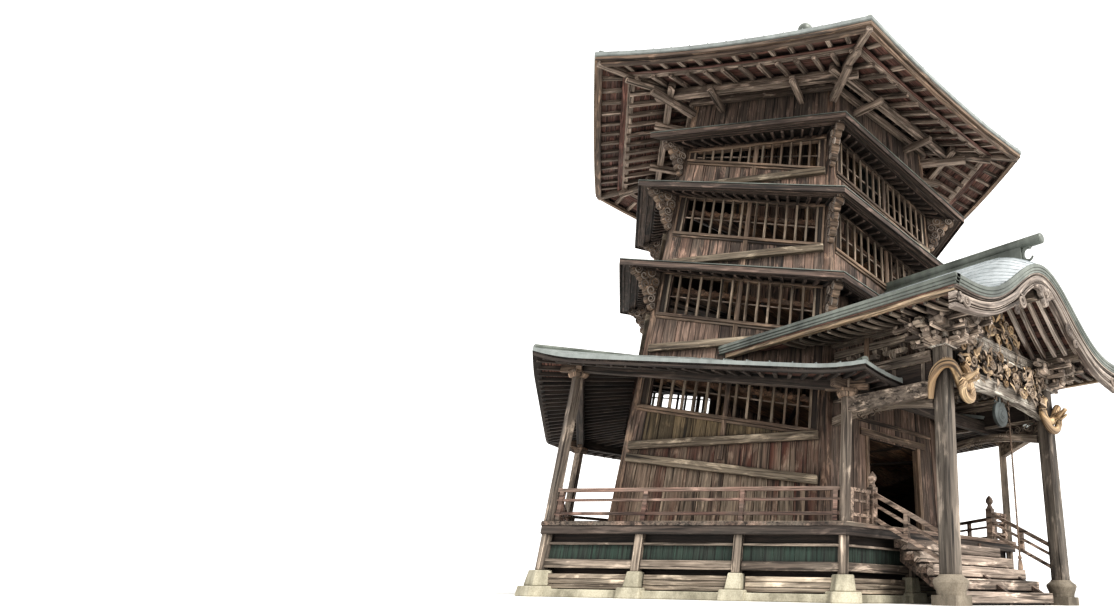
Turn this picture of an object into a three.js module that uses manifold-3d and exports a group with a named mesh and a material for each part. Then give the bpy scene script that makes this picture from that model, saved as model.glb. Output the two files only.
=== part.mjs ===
// A hexagonal wooden pagoda with two ramps that wind round a hollow core, in millimetres, +Z up.
// The origin is on the ground under the centre. The porch faces -Y.
import * as THREE from "three";
import Module from "manifold-3d";

const wasm = await Module();
wasm.setup();

// Heights above the ground
const DECK_TOP = 1160;
const DECK_PLANK = 60;
const RAIL_TOP = 1710;
const WALL_TOP = 11300;
const EAVE_EDGE = 10920;
const ROOF_APEX = 14750;
const FINIAL_TOP = 16500;

// Corner radii of the hexagons
const SHAFT_RADIUS = 4080;
const SHAFT_TAPER = 0.055;
const VERANDA_RADIUS = 5180;
const DECK_RADIUS = 5330;
const SKIRT_RADIUS = 6100;
const ROOF_RADIUS = 6240;
const CORE_RADIUS = 1700;

// The climb of the ramps
const RISE = 660;
const RAMP_START = 1490;
const RAMP_SLAB = 100;
const RAMP_END = 10;
const RAMP_LIP = 30;
const EAVE_ABOVE_FLOOR = 2240;
const SILL_ABOVE_FLOOR = [1380, 1260];
const WINDOW_HEIGHT = 950;

// Timber sections
const POST_SIDE = 130;
const POST_OUT = 20;
const POST_IN = 130;
const WALL_OUT = -10;
const WALL_IN = -100;
const VERANDA_POST = 150;
const COLUMN = 280;
const GAP = 0.3;

// A face's distance from the axis over its corner's
const FACE_COS = Math.cos(Math.PI / 6);

// The porch
const COLUMN_X = 1810;
const COLUMN_Y = -5950;
const PORCH_HALF = 3100;
const PORCH_FRONT = -7100;
const PORCH_BACK = -1300;
const PORCH_EAVE = 4560;
const PORCH_SHELL = 120;
const STAIR_HALF = 1480;
const STEPS = 6;
const STEP_RUN = 255;

const SIDES = ["front_left", "back_left", "back", "back_right", "front_right", "front"];
const CORNERS = [-120, 180, 120, 60, 0, -60];

const wood = material(0x6f5b4c, 0.8, 0);
const darkWood = material(0x4b3830, 0.85, 0);
const greyWood = material(0x8a8177, 0.85, 0);
const railWood = material(0x7b4f3a, 0.7, 0);
const stone = material(0xaaa58e, 0.9, 0);
const roofMetal = material(0x78857c, 0.45, 0.6);
const dragonWood = material(0xc8a064, 0.6, 0);
const bronze = material(0x5d5640, 0.5, 0.8);
const ropeFibre = material(0x8d3a30, 0.9, 0);

const pagoda = new THREE.Group();
const base = new THREE.Group();
const tower = new THREE.Group();
const veranda = new THREE.Group();
const porch = new THREE.Group();
const roof = new THREE.Group();
pagoda.add(base, tower, veranda, porch, roof);

function material(color, roughness, metalness) {
  return new THREE.MeshStandardMaterial({ color, roughness, metalness });
}

function radians(degrees) {
  return (degrees * Math.PI) / 180;
}

function mix(a, b, t) {
  return a + (b - a) * t;
}

function mixPoint(a, b, t) {
  return a.map((value, axis) => mix(value, b[axis], t));
}

function mixLoop(a, b, t) {
  return a.map((point, index) => mixPoint(point, b[index], t));
}

function polar(radius, degrees, z) {
  return [radius * Math.cos(radians(degrees)), radius * Math.sin(radians(degrees)), z];
}

function cornerAngle(index) {
  return CORNERS[((index % 6) + 6) % 6];
}

function shaftRadius(z) {
  return SHAFT_RADIUS - SHAFT_TAPER * (z - DECK_TOP);
}

// Solids

// A three.js geometry as a solid
function solid(geometry) {
  const plain = geometry.index ? geometry.toNonIndexed() : geometry;
  const position = plain.getAttribute("position");
  const keys = new Map();
  const vertices = [];
  const triangles = [];
  for (let i = 0; i < position.count; i++) {
    const point = [position.getX(i), position.getY(i), position.getZ(i)];
    const key = point.map((value) => Math.round(value * 1000)).join();
    if (!keys.has(key)) {
      keys.set(key, keys.size);
      vertices.push(...point);
    }
    triangles.push(keys.get(key));
  }
  const kept = [];
  for (let i = 0; i < triangles.length; i += 3) {
    const [a, b, c] = triangles.slice(i, i + 3);
    if (a !== b && b !== c && a !== c) kept.push(a, b, c);
  }
  return fromTriangles(vertices, kept);
}

function fromTriangles(vertices, triangles) {
  return new wasm.Manifold(
    new wasm.Mesh({
      numProp: 3,
      vertProperties: new Float32Array(vertices),
      triVerts: new Uint32Array(triangles),
    }),
  );
}

function loopNormal(loop) {
  const normal = new THREE.Vector3();
  loop.forEach((point, index) => {
    const a = new THREE.Vector3(...point);
    const b = new THREE.Vector3(...loop[(index + 1) % loop.length]);
    normal.add(a.cross(b));
  });
  return normal;
}

// The triangles that close one end loop
function capTriangles(loop) {
  const normal = loopNormal(loop);
  const size = [Math.abs(normal.x), Math.abs(normal.y), Math.abs(normal.z)];
  const drop = size.indexOf(Math.max(...size));
  const flat = loop.map((point) => {
    const kept = point.filter((_, axis) => axis !== drop);
    return new THREE.Vector2(kept[0], kept[1]);
  });
  return THREE.ShapeUtils.triangulateShape(flat, []).map((face) => {
    const points = face.map((index) => new THREE.Vector3(...loop[index]));
    const side = points[1].clone().sub(points[0]).cross(points[2].clone().sub(points[0]));
    return side.dot(normal) < 0 ? [face[0], face[2], face[1]] : face;
  });
}

// A body through a row of like loops: closed rings join the last loop to the first
function loft(loops, ring = false) {
  const count = loops[0].length;
  const vertices = loops.flat(2);
  const triangles = [];
  const spans = ring ? loops.length : loops.length - 1;
  for (let row = 0; row < spans; row++) {
    const here = row * count;
    const next = ((row + 1) % loops.length) * count;
    for (let i = 0; i < count; i++) {
      const j = (i + 1) % count;
      triangles.push(here + i, here + j, next + j, here + i, next + j, next + i);
    }
  }
  if (!ring) {
    const last = (loops.length - 1) * count;
    capTriangles(loops[0]).forEach(([a, b, c]) => triangles.push(a, c, b));
    capTriangles(loops.at(-1)).forEach(([a, b, c]) => triangles.push(last + a, last + b, last + c));
  }
  if (signedVolume(vertices, triangles) < 0) {
    for (let i = 0; i < triangles.length; i += 3) {
      [triangles[i + 1], triangles[i + 2]] = [triangles[i + 2], triangles[i + 1]];
    }
  }
  return fromTriangles(vertices, triangles);
}

function signedVolume(vertices, triangles) {
  let sum = 0;
  const at = (index) => new THREE.Vector3(...vertices.slice(index * 3, index * 3 + 3));
  for (let i = 0; i < triangles.length; i += 3) {
    const [a, b, c] = [at(triangles[i]), at(triangles[i + 1]), at(triangles[i + 2])];
    sum += a.dot(b.cross(c));
  }
  return sum;
}

function box(low, high) {
  const size = high.map((value, axis) => value - low[axis]);
  const middle = high.map((value, axis) => (value + low[axis]) / 2);
  return solid(new THREE.BoxGeometry(...size).translate(...middle));
}

function join(pieces) {
  return pieces.reduce((whole, piece) => whole.add(piece));
}

// A straight timber of rectangular section between two points, upright sides
function beam(from, to, width, height) {
  const along = new THREE.Vector3(to[0] - from[0], to[1] - from[1], 0).normalize();
  const side = [(-along.y * width) / 2, (along.x * width) / 2];
  const end = (p) => [
    [p[0] + side[0], p[1] + side[1], p[2] - height / 2],
    [p[0] - side[0], p[1] - side[1], p[2] - height / 2],
    [p[0] - side[0], p[1] - side[1], p[2] + height / 2],
    [p[0] + side[0], p[1] + side[1], p[2] + height / 2],
  ];
  return loft([end(from), end(to)]);
}

// An upright square post with a side turned to the given angle
function post(x, y, degrees, width, bottom, top, topWidth = width) {
  const square = (size, z) =>
    [45, 135, 225, 315].map((turn) => {
      const [dx, dy] = polar(size * Math.SQRT1_2, degrees + turn, 0);
      return [x + dx, y + dy, z];
    });
  return loft([square(width, bottom), square(topWidth, top)]);
}

function hexRing(outer, inner, bottom, top) {
  const section = (degrees) => [
    polar(inner, degrees, bottom),
    polar(outer, degrees, bottom),
    polar(outer, degrees, top),
    polar(inner, degrees, top),
  ];
  return loft(CORNERS.map(section), true);
}

// Adds a named mesh with a material of its own, placed by the middle of its foot
function add(group, name, body, look) {
  const mesh = body.getMesh();
  const geometry = new THREE.BufferGeometry();
  geometry.setAttribute("position", new THREE.BufferAttribute(mesh.vertProperties, 3));
  geometry.setIndex(new THREE.BufferAttribute(mesh.triVerts, 1));
  geometry.computeVertexNormals();
  geometry.computeBoundingBox();
  const { min, max } = geometry.boundingBox;
  const node = new THREE.Mesh(geometry, look.clone());
  node.position.set((min.x + max.x) / 2, (min.y + max.y) / 2, min.z).round();
  geometry.translate(-node.position.x, -node.position.y, -node.position.z);
  node.name = name;
  group.add(node);
}

// Places on a wall face: s runs from the face's middle to its higher end, out is away from the tower

function facePoint(face, s, z, out) {
  const radius = shaftRadius(z);
  const grown = radius + out / FACE_COS;
  const start = polar(grown, cornerAngle(face), z);
  const end = polar(grown, cornerAngle(face + 1), z);
  return mixPoint(start, end, 0.5 + s / grown);
}

// A block through a wall: its lower and upper edges slope from the low end to the high end
function wallBlock(face, s0, s1, lows, highs, out, into) {
  const loop = (depth) => [
    facePoint(face, s0, lows[0], depth),
    facePoint(face, s1, lows[1], depth),
    facePoint(face, s1, highs[1], depth),
    facePoint(face, s0, highs[0], depth),
  ];
  return loft([loop(out), loop(into)]);
}

// Heights along a ramp, counted in faces from its first corner

function floorAt(step) {
  return RAMP_START + RISE * step;
}

function eaveAt(step) {
  return floorAt(Math.min(step, RAMP_END - 1)) + EAVE_ABOVE_FLOOR;
}

function stepLoop(step, cornerLoop) {
  const base = Math.floor(step);
  const part = step - base;
  return part === 0 ? cornerLoop(base) : mixLoop(cornerLoop(base), cornerLoop(base + 1), part);
}

// Base

function footing(side, part) {
  const start = polar(VERANDA_RADIUS, cornerAngle(side), 0);
  const end = polar(VERANDA_RADIUS, cornerAngle(side + 1), 0);
  const [x, y] = mixPoint(start, end, part);
  const turn = part === 0 ? cornerAngle(side) : cornerAngle(side) - 30;
  return { x, y, turn };
}

const BAYS = [0, 1 / 3, 2 / 3];
const feet = SIDES.flatMap((_, side) => BAYS.map((part) => footing(side, part)));

const KERB_TOP = 120;
const KERB_HALF = 150;
const STONE_FOOT = 130;
const STONE_TOP = 400;
const kerb = hexRing(VERANDA_RADIUS + KERB_HALF, VERANDA_RADIUS - KERB_HALF, 0, KERB_TOP);
const stones = feet.map(({ x, y, turn }) => {
  const foot = post(x, y, turn, 400, 0, STONE_FOOT);
  return foot.add(post(x, y, turn, 360, STONE_FOOT, STONE_TOP, 240));
});
add(base, "stone_kerb", join([kerb, ...stones]), stone);

const FOUNDATION_RADIUS = SHAFT_RADIUS + 60;
const FOUNDATION_WIDTH = 300;
const PAD_THICK = 150;
const padLoop = (z) => CORNERS.map((angle) => polar(FOUNDATION_RADIUS, angle, z));
const foundationTop = DECK_TOP - DECK_PLANK - GAP;
const foundationWall = hexRing(FOUNDATION_RADIUS, FOUNDATION_RADIUS - FOUNDATION_WIDTH, 0, foundationTop);
add(base, "shaft_foundation", foundationWall.add(loft([padLoop(0), padLoop(PAD_THICK)])), stone);

const EDGE_BEAM = 120;
const BEAM_BOTTOM = DECK_TOP - DECK_PLANK - EDGE_BEAM;
const SHORT_POST = 140;
const UNDERFLOOR_RADIUS = VERANDA_RADIUS + 40;
const shortPosts = feet.map(({ x, y, turn }) =>
  post(x, y, turn, SHORT_POST, STONE_TOP + GAP, BEAM_BOTTOM - GAP),
);
const boardRing = (inset, thick, bottom, top) =>
  hexRing(UNDERFLOOR_RADIUS - inset, UNDERFLOOR_RADIUS - inset - thick, bottom, top);
add(
  base,
  "underfloor_frame",
  join([
    ...shortPosts,
    boardRing(40, 40, STONE_TOP + 60, 600),
    boardRing(70, 30, 600, 860),
    boardRing(40, 50, 860, 905),
  ]),
  darkWood,
);

const deckPlate = hexRing(DECK_RADIUS, CORE_RADIUS, DECK_TOP - DECK_PLANK, DECK_TOP);
const EDGE_BEAM_OUT = 110;
const EDGE_BEAM_IN = 60;
const edgeOuter = VERANDA_RADIUS + EDGE_BEAM_OUT;
const deckEdge = hexRing(edgeOuter, VERANDA_RADIUS - EDGE_BEAM_IN, BEAM_BOTTOM, DECK_TOP - DECK_PLANK);
add(veranda, "veranda_deck", deckPlate.add(deckEdge), wood);

// Tower

function postLoop(corner, z) {
  const reach = shaftRadius(z) / 2 - POST_SIDE;
  const before = corner - 1;
  return [
    polar(shaftRadius(z) + POST_OUT / FACE_COS, cornerAngle(corner), z),
    facePoint(corner, -reach, z, POST_OUT),
    facePoint(corner, -reach, z, -POST_IN),
    polar(shaftRadius(z) - POST_IN / FACE_COS, cornerAngle(corner), z),
    facePoint(before, reach, z, -POST_IN),
    facePoint(before, reach, z, POST_OUT),
  ];
}

CORNERS.forEach((_, corner) => {
  const body = loft([postLoop(corner, DECK_TOP + GAP), postLoop(corner, WALL_TOP)]);
  add(tower, "corner_post_" + (corner + 1), body, greyWood);
});

// A face between its corner posts, from the deck to the roof
function wallSlab(face) {
  const reach = (z) => shaftRadius(z) / 2 - POST_SIDE - GAP;
  const low = DECK_TOP + GAP;
  const loop = (out) => [
    facePoint(face, -reach(low), low, out),
    facePoint(face, reach(low), low, out),
    facePoint(face, reach(WALL_TOP), WALL_TOP, out),
    facePoint(face, -reach(WALL_TOP), WALL_TOP, out),
  ];
  return loft([loop(WALL_OUT), loop(WALL_IN)]);
}

const WINDOW_MARGIN = 330;
const HOLE_OUT = 200;
const HOLE_IN = -300;
const DOOR_HALF = 800;
const DOOR_TOP = 2900;
const SKIRT_STEP = 1;

// The window over a ramp's stretch along one face; the last one stops under the level top eave
function windowHole(face, step) {
  const reach = shaftRadius(floorAt(step) + 2000) / 2 - WINDOW_MARGIN;
  const lows = [floorAt(step) + SILL_ABOVE_FLOOR[0], floorAt(step + 1) + SILL_ABOVE_FLOOR[1]];
  const level = eaveAt(step) - 60;
  const highs = lows.map((low) => (step === RAMP_END - 1 ? level : low + WINDOW_HEIGHT));
  return wallBlock(face, -reach, reach, lows, highs, HOLE_OUT, HOLE_IN);
}

// The second ramp starts three faces on, at the back
const RAMPS = [
  { name: "up_ramp", first: 0 },
  { name: "down_ramp", first: 3 },
];

SIDES.forEach((side, face) => {
  const holes = [];
  RAMPS.forEach(({ first }) => {
    for (let step = 0; step < RAMP_END; step++) {
      const hidden = step === SKIRT_STEP || (side === "front" && step === 2);
      if ((step + first) % 6 === face && !hidden) holes.push(windowHole(face, step));
    }
  });
  if (side === "front" || side === "back") {
    const sill = [DECK_TOP - 50, DECK_TOP - 50];
    holes.push(wallBlock(face, -DOOR_HALF, DOOR_HALF, sill, [DOOR_TOP, DOOR_TOP], HOLE_OUT, HOLE_IN));
  }
  add(tower, "wall_" + side, holes.reduce((wall, hole) => wall.subtract(hole), wallSlab(face)), wood);
});

// The core between the ramps, open where the ramps end
const CORE_THICK = 100;
const coreWall = hexRing(CORE_RADIUS - GAP, CORE_RADIUS - CORE_THICK, DECK_TOP + GAP, WALL_TOP);
const CORE_DOOR_WIDTH = 800;
const coreDoorFoot = floorAt(RAMP_END - 0.5) + 60;
const coreDoorHead = floorAt(RAMP_END) + 1500;
const coreDoors = [30, -150].map((degrees) => {
  const [x, y] = polar(CORE_RADIUS * FACE_COS, degrees, 0);
  return post(x, y, degrees, CORE_DOOR_WIDTH, coreDoorFoot, coreDoorHead);
});
add(tower, "core_tube", coreDoors.reduce((core, door) => core.subtract(door), coreWall), darkWood);

// Ramps

// The slab's underside and top, never below the deck
function slabHeights(step) {
  return [Math.max(floorAt(step) - RAMP_SLAB, DECK_TOP + GAP), Math.max(floorAt(step), DECK_TOP + RAMP_LIP)];
}

function rampLoop(first) {
  return (step) => {
    const [bottom, top] = slabHeights(step);
    const angle = cornerAngle(step + first);
    const outer = (z) => shaftRadius(z) - POST_IN / FACE_COS - GAP;
    return [
      polar(CORE_RADIUS + GAP, angle, bottom),
      polar(outer(bottom), angle, bottom),
      polar(outer(top), angle, top),
      polar(CORE_RADIUS + GAP, angle, top),
    ];
  };
}

// A loop part way along a face, with the ramp's own clamped heights there
function rampLoopAt(first, step) {
  const loop = stepLoop(step, rampLoop(first));
  const [bottom, top] = slabHeights(step);
  return loop.map(([x, y], index) => [x, y, index < 2 ? bottom : top]);
}

const RAMP_FOOT = -0.5;
const CLEAR_OF_DECK = (DECK_TOP + GAP + RAMP_SLAB - RAMP_START) / RISE;
RAMPS.forEach(({ name, first }) => {
  const steps = [RAMP_FOOT, CLEAR_OF_DECK];
  for (let step = 0; step <= RAMP_END; step++) steps.push(step);
  add(tower, name, loft(steps.map((step) => rampLoopAt(first, step))), wood);
});

// Eaves that climb round the tower over each ramp's windows
const EAVE_REACH = 950;
const EAVE_FALL = 260;
const EAVE_THICK = 90;
const EAVE_ROOT = 130;

function eaveLoop(first) {
  return (step) => {
    const z = eaveAt(step);
    const angle = cornerAngle(step + first);
    const inner = (height) => shaftRadius(height) + POST_OUT / FACE_COS + GAP;
    const outer = shaftRadius(z) + EAVE_REACH;
    const high = z + EAVE_FALL;
    return [
      polar(inner(high), angle, high),
      polar(inner(high - EAVE_ROOT), angle, high - EAVE_ROOT),
      polar(outer, angle, z - EAVE_THICK),
      polar(outer, angle, z),
    ];
  };
}

// Porch roof: a bell curve across, an outer skin that rises from the front edge to the ridge
const PORCH_RIDGE = 6180;
const FRONT_APEX = 5800;
const BELL_SHARPNESS = 1.75;
const FRONT_RISE_RUN = 900;
const WELL_CLEAR = 3000;

function bell(x, apex, eave) {
  return eave + (apex - eave) * ((1 + Math.cos((Math.PI * x) / PORCH_HALF)) / 2) ** BELL_SHARPNESS;
}

function porchApex(y) {
  const part = Math.min((y - PORCH_FRONT) / FRONT_RISE_RUN, 1);
  return mix(FRONT_APEX, PORCH_RIDGE, Math.sin((part * Math.PI) / 2));
}

const BELL_POINTS = 28;
function bellEdge(y, drop) {
  const edge = [];
  for (let i = 0; i <= BELL_POINTS; i++) {
    const x = mix(-PORCH_HALF, PORCH_HALF, i / BELL_POINTS);
    edge.push([x, y, bell(x, porchApex(y), PORCH_EAVE) - drop]);
  }
  return edge;
}

const PORCH_ROWS = [0, 200, 450, FRONT_RISE_RUN].map((run) => PORCH_FRONT + run).concat(PORCH_BACK);

// The space between two drops under the bell surface
function bellBody(rows, topDrop, bottomDrop) {
  return loft(rows.map((y) => [...bellEdge(y, topDrop), ...bellEdge(y, bottomDrop).reverse()]));
}

// The tower as one solid, grown by a little, for cutting what meets it
function towerEnvelope(grow) {
  const loop = (z) => CORNERS.map((angle) => polar(shaftRadius(z) + grow, angle, z));
  return loft([loop(0), loop(WALL_TOP)]);
}

const towerSpace = towerEnvelope(POST_OUT / FACE_COS + GAP);
const porchRoof = bellBody(PORCH_ROWS, 0, PORCH_SHELL).subtract(towerSpace);
add(porch, "porch_roof", porchRoof, roofMetal);

const RIDGE_WIDTH = 200;
const RIDGE_TOP = 6550;
const RIDGE_NOSE = 50;
const RIDGE_END_BOTTOM = FRONT_APEX + 300;

// The ridge's block, grown by a little
function ridgeBlock(grow) {
  const half = RIDGE_WIDTH / 2 + grow;
  return box([-half, PORCH_FRONT - RIDGE_NOSE - grow, PORCH_EAVE], [half, PORCH_BACK, RIDGE_TOP + grow]);
}

const underNose = box(
  [-RIDGE_WIDTH, PORCH_FRONT - 2 * RIDGE_NOSE, 0],
  [RIDGE_WIDTH, PORCH_FRONT + 30, RIDGE_END_BOTTOM],
);
const ridgeBody = ridgeBlock(0)
  .subtract(bellBody([PORCH_FRONT - 1, ...PORCH_ROWS.slice(1)], -GAP, WELL_CLEAR))
  .subtract(underNose)
  .subtract(towerSpace);
add(porch, "porch_ridge", ridgeBody, roofMetal);

const UNDER_PORCH = 1500;
const porchSpace = bellBody(PORCH_ROWS, -GAP, UNDER_PORCH).add(ridgeBlock(GAP));

const HALFWAY = 6;
const EAVE_START = 2;
const FRONT_EAVE_START = 2.74;
const EAVE_SPLIT = 0.0004;
RAMPS.forEach(({ name, first }) => {
  const front = first === 3;
  const begin = front ? FRONT_EAVE_START : EAVE_START;
  const low = [begin];
  for (let step = 3; step <= HALFWAY; step++) low.push(step);
  const high = [HALFWAY + EAVE_SPLIT];
  for (let step = HALFWAY + 1; step <= RAMP_END; step++) high.push(step);
  const lowBody = loft(low.map((step) => stepLoop(step, eaveLoop(first))));
  const prefix = name.replace("ramp", "eave");
  add(tower, prefix + "_lower", front ? lowBody.subtract(porchSpace) : lowBody, darkWood);
  add(tower, prefix + "_upper", loft(high.map((step) => stepLoop(step, eaveLoop(first)))), darkWood);
});

// Skirt roof: highest at the left and right corners, lowest at the four corners beside the front and back
const SKIRT_WALL_HEIGHTS = [3800, 4400, 3800, 3800, 4400, 3800];
const SKIRT_EDGE_HEIGHTS = [3450, 3950, 3450, 3450, 3950, 3450];
const SKIRT_THICK = 90;
const CORNER_LIFT = 110;
const LIFT_RUN = 0.16;
const OVER_SKIRT = 1500;

function pick(list, index) {
  return list[((index % 6) + 6) % 6];
}

function skirtLoop(corner, lift) {
  const wall = pick(SKIRT_WALL_HEIGHTS, corner);
  const edge = pick(SKIRT_EDGE_HEIGHTS, corner) + lift;
  const angle = cornerAngle(corner);
  const inner = (z) => shaftRadius(z) + POST_OUT / FACE_COS + GAP;
  return [
    polar(inner(wall), angle, wall),
    polar(inner(wall - EAVE_ROOT), angle, wall - EAVE_ROOT),
    polar(SKIRT_RADIUS, angle, edge - SKIRT_THICK),
    polar(SKIRT_RADIUS, angle, edge),
  ];
}

function skirtLoops(side, from, to) {
  const half = [0, LIFT_RUN * 0.45, LIFT_RUN];
  const places = [...half, ...half.map((part) => 1 - part).reverse()];
  const kept = new Set(places.map((part) => Math.min(Math.max(part, from), to)));
  return [...kept].map((part) => {
    const lift = CORNER_LIFT * Math.max(0, 1 - Math.min(part, 1 - part) / LIFT_RUN) ** 2;
    return mixLoop(skirtLoop(side, lift), skirtLoop(side + 1, lift), part);
  });
}

// All that lies above the underside of one length of the skirt roof
function skirtSpace(side) {
  const raised = skirtLoops(side, 0, 1).map((loop) =>
    loop.map(([x, y, z], index) => [x, y, index === 0 || index === 3 ? z + OVER_SKIRT : z - GAP]),
  );
  return loft(raised);
}

const SEAM = 0.0001;
const FRONT = SIDES.indexOf("front");
SIDES.forEach((side, index) => {
  if (side === "front") return;
  const from = side === "front_left" ? 0 : SEAM;
  const to = side === "front_right" ? 1 : 1 - SEAM;
  let body = loft(skirtLoops(index, from, to));
  if (side === "front_left") body = body.add(loft(skirtLoops(FRONT, 1 - LIFT_RUN, 1)));
  if (side === "front_right") body = body.add(loft(skirtLoops(FRONT, 0, LIFT_RUN)));
  add(veranda, "skirt_roof_" + side, body, roofMetal);
});

// Veranda posts and the eave beams over them, just under the skirt roof
function underSkirt(corner, radius) {
  const inner = shaftRadius(pick(SKIRT_WALL_HEIGHTS, corner));
  const part = (radius - inner) / (SKIRT_RADIUS - inner);
  const root = pick(SKIRT_WALL_HEIGHTS, corner) - EAVE_ROOT;
  return mix(root, pick(SKIRT_EDGE_HEIGHTS, corner) - SKIRT_THICK, part);
}

const EAVE_BEAM = 220;
const EAVE_BEAM_HALF = 60;
const BEAM_OVERLAP = 50;
const beamTops = CORNERS.map((_, corner) => underSkirt(corner, VERANDA_RADIUS) + BEAM_OVERLAP);
const eaveBeams = loft(
  CORNERS.map((angle, corner) => [
    polar(VERANDA_RADIUS - EAVE_BEAM_HALF, angle, beamTops[corner] - EAVE_BEAM),
    polar(VERANDA_RADIUS + EAVE_BEAM_HALF, angle, beamTops[corner] - EAVE_BEAM),
    polar(VERANDA_RADIUS + EAVE_BEAM_HALF, angle, beamTops[corner]),
    polar(VERANDA_RADIUS - EAVE_BEAM_HALF, angle, beamTops[corner]),
  ]),
  true,
);
const verandaPosts = CORNERS.map((angle, corner) => {
  const [x, y] = polar(VERANDA_RADIUS, angle, 0);
  return post(x, y, angle, VERANDA_POST, DECK_TOP + GAP, beamTops[corner] - BEAM_OVERLAP);
});
const frameBody = join([eaveBeams, ...verandaPosts]);
const fittedFrame = SIDES.reduce((body, _, side) => body.subtract(skirtSpace(side)), frameBody);
add(veranda, "veranda_frame", fittedFrame, greyWood);

// Railings, each with its short posts over the footings
const RAIL_HEIGHTS = [
  [RAIL_TOP - 60, RAIL_TOP, 70],
  [1495, 1535, 50],
  [1270, 1320, 60],
];

const END_BALUSTER = 0.028;
const BALUSTER = 75;

function railing(side, from, to) {
  const start = polar(VERANDA_RADIUS, cornerAngle(side), 0);
  const end = polar(VERANDA_RADIUS, cornerAngle(side + 1), 0);
  const a = mixPoint(start, end, from);
  const b = mixPoint(start, end, to);
  const rails = RAIL_HEIGHTS.map(([low, high, width]) => {
    const middle = (low + high) / 2;
    return beam([a[0], a[1], middle], [b[0], b[1], middle], width, high - low);
  });
  const inside = BAYS.slice(1).filter((part) => part > from && part < to);
  const ends = [from + END_BALUSTER, to - END_BALUSTER];
  const balusters = [...inside, ...ends].map((part) => {
    const [x, y] = mixPoint(start, end, part);
    return post(x, y, cornerAngle(side) - 30, BALUSTER, DECK_TOP + GAP, RAIL_TOP - 30);
  });
  const cornerPosts = [start, end].map(([x, y], index) =>
    post(x, y, cornerAngle(side + index), VERANDA_POST + 2 * GAP, DECK_TOP, RAIL_TOP + 10),
  );
  return cornerPosts.reduce((body, cut) => body.subtract(cut), join([...rails, ...balusters]));
}

const NEWEL_X = 1900;
const frontPart = 0.5 - NEWEL_X / VERANDA_RADIUS;
SIDES.forEach((side, index) => {
  if (side !== "front") add(veranda, "railing_" + side, railing(index, 0, 1), railWood);
});
const shortRailings = [railing(FRONT, 1 - frontPart, 1), railing(FRONT, 0, frontPart)];

// Stairs between the porch columns
const STAIR_TOP_Y = -DECK_RADIUS * FACE_COS - GAP;
const stepRise = DECK_TOP / STEPS;
const TREAD_THICK = 130;
const NOSING = 30;
const TREAD_LAP = 60;
const treads = [];
for (let step = 1; step < STEPS; step++) {
  const top = DECK_TOP - step * stepRise;
  const back = STAIR_TOP_Y - (step - 1) * STEP_RUN;
  const lap = step === 1 ? 0 : TREAD_LAP;
  treads.push(box([-STAIR_HALF, back - STEP_RUN - NOSING, top - TREAD_THICK], [STAIR_HALF, back + lap, top]));
}
const stairEnd = STAIR_TOP_Y - (STEPS - 1) * STEP_RUN;
const EDGE_BEAM_FACE = -edgeOuter * FACE_COS - GAP;
const STRINGER_HEAD = 1060;
const STRINGER_DEPTH = 330;
const STRINGER_HALF = 45;
const STRINGER_INSET = 250;
const stringer = (x) => {
  const profile = (at) => [
    [at, STAIR_TOP_Y, DECK_TOP - stepRise - 20],
    [at, STAIR_TOP_Y, STRINGER_HEAD],
    [at, EDGE_BEAM_FACE, STRINGER_HEAD],
    [at, EDGE_BEAM_FACE, DECK_TOP - stepRise - STRINGER_DEPTH],
    [at, stairEnd + 250, 0],
    [at, stairEnd - 20, 0],
    [at, stairEnd - 20, stepRise - 20],
  ];
  return loft([profile(x - STRINGER_HALF), profile(x + STRINGER_HALF)]);
};
const stringers = [STRINGER_INSET - STAIR_HALF, 0, STAIR_HALF - STRINGER_INSET].map(stringer);
add(porch, "stair_flight", join([...treads, ...stringers]), greyWood);

// A newel with an onion top, and the sloping rails down to the porch column
function onion(x, y, bottom) {
  const profile = [
    [0, 0],
    [60, 0],
    [60, 40],
    [42, 60],
    [42, 90],
    [70, 120],
    [78, 160],
    [62, 205],
    [30, 240],
    [0, 275],
  ];
  const points = profile.map(([radius, z]) => new THREE.Vector2(radius, z));
  const geometry = new THREE.LatheGeometry(points, 12);
  geometry.rotateX(Math.PI / 2);
  geometry.translate(x, y, bottom);
  return solid(geometry);
}

const NEWEL = 130;
const NEWEL_Y = -VERANDA_RADIUS * FACE_COS;
const NEWEL_TOP = RAIL_TOP + 60;
const STAIR_RAIL_FALL = 700;
const STAIR_BALUSTER = [1270, RAIL_TOP - 30];
[-1, 1].forEach((sign) => {
  const x = sign * NEWEL_X;
  const newel = post(x, NEWEL_Y, 0, NEWEL, DECK_TOP + GAP, NEWEL_TOP).add(onion(x, NEWEL_Y, NEWEL_TOP - 10));
  const endX = sign * (COLUMN_X + 20);
  const endY = COLUMN_Y + COLUMN / 4;
  const rails = RAIL_HEIGHTS.map(([low, high, width]) => {
    const middle = (low + high) / 2;
    const from = [x, NEWEL_Y, middle];
    return beam(from, [endX, endY, middle - STAIR_RAIL_FALL], width, high - low + 10);
  });
  const half = mixPoint([x, NEWEL_Y, 0], [endX, endY, 0], 0.5);
  const [foot, head] = STAIR_BALUSTER.map((z) => z - STAIR_RAIL_FALL / 2);
  const baluster = post(half[0], half[1], 0, BALUSTER, foot, head);
  const columnSpace = box(
    [endX - COLUMN, COLUMN_Y - COLUMN, 0],
    [endX + COLUMN, COLUMN_Y + COLUMN / 2 + GAP, RAIL_TOP],
  );
  const name = "stair_railing_" + (sign < 0 ? "left" : "right");
  const short = shortRailings[sign < 0 ? 0 : 1];
  add(veranda, name, join([newel, ...rails, baluster, short]).subtract(columnSpace), railWood);
});

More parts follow.
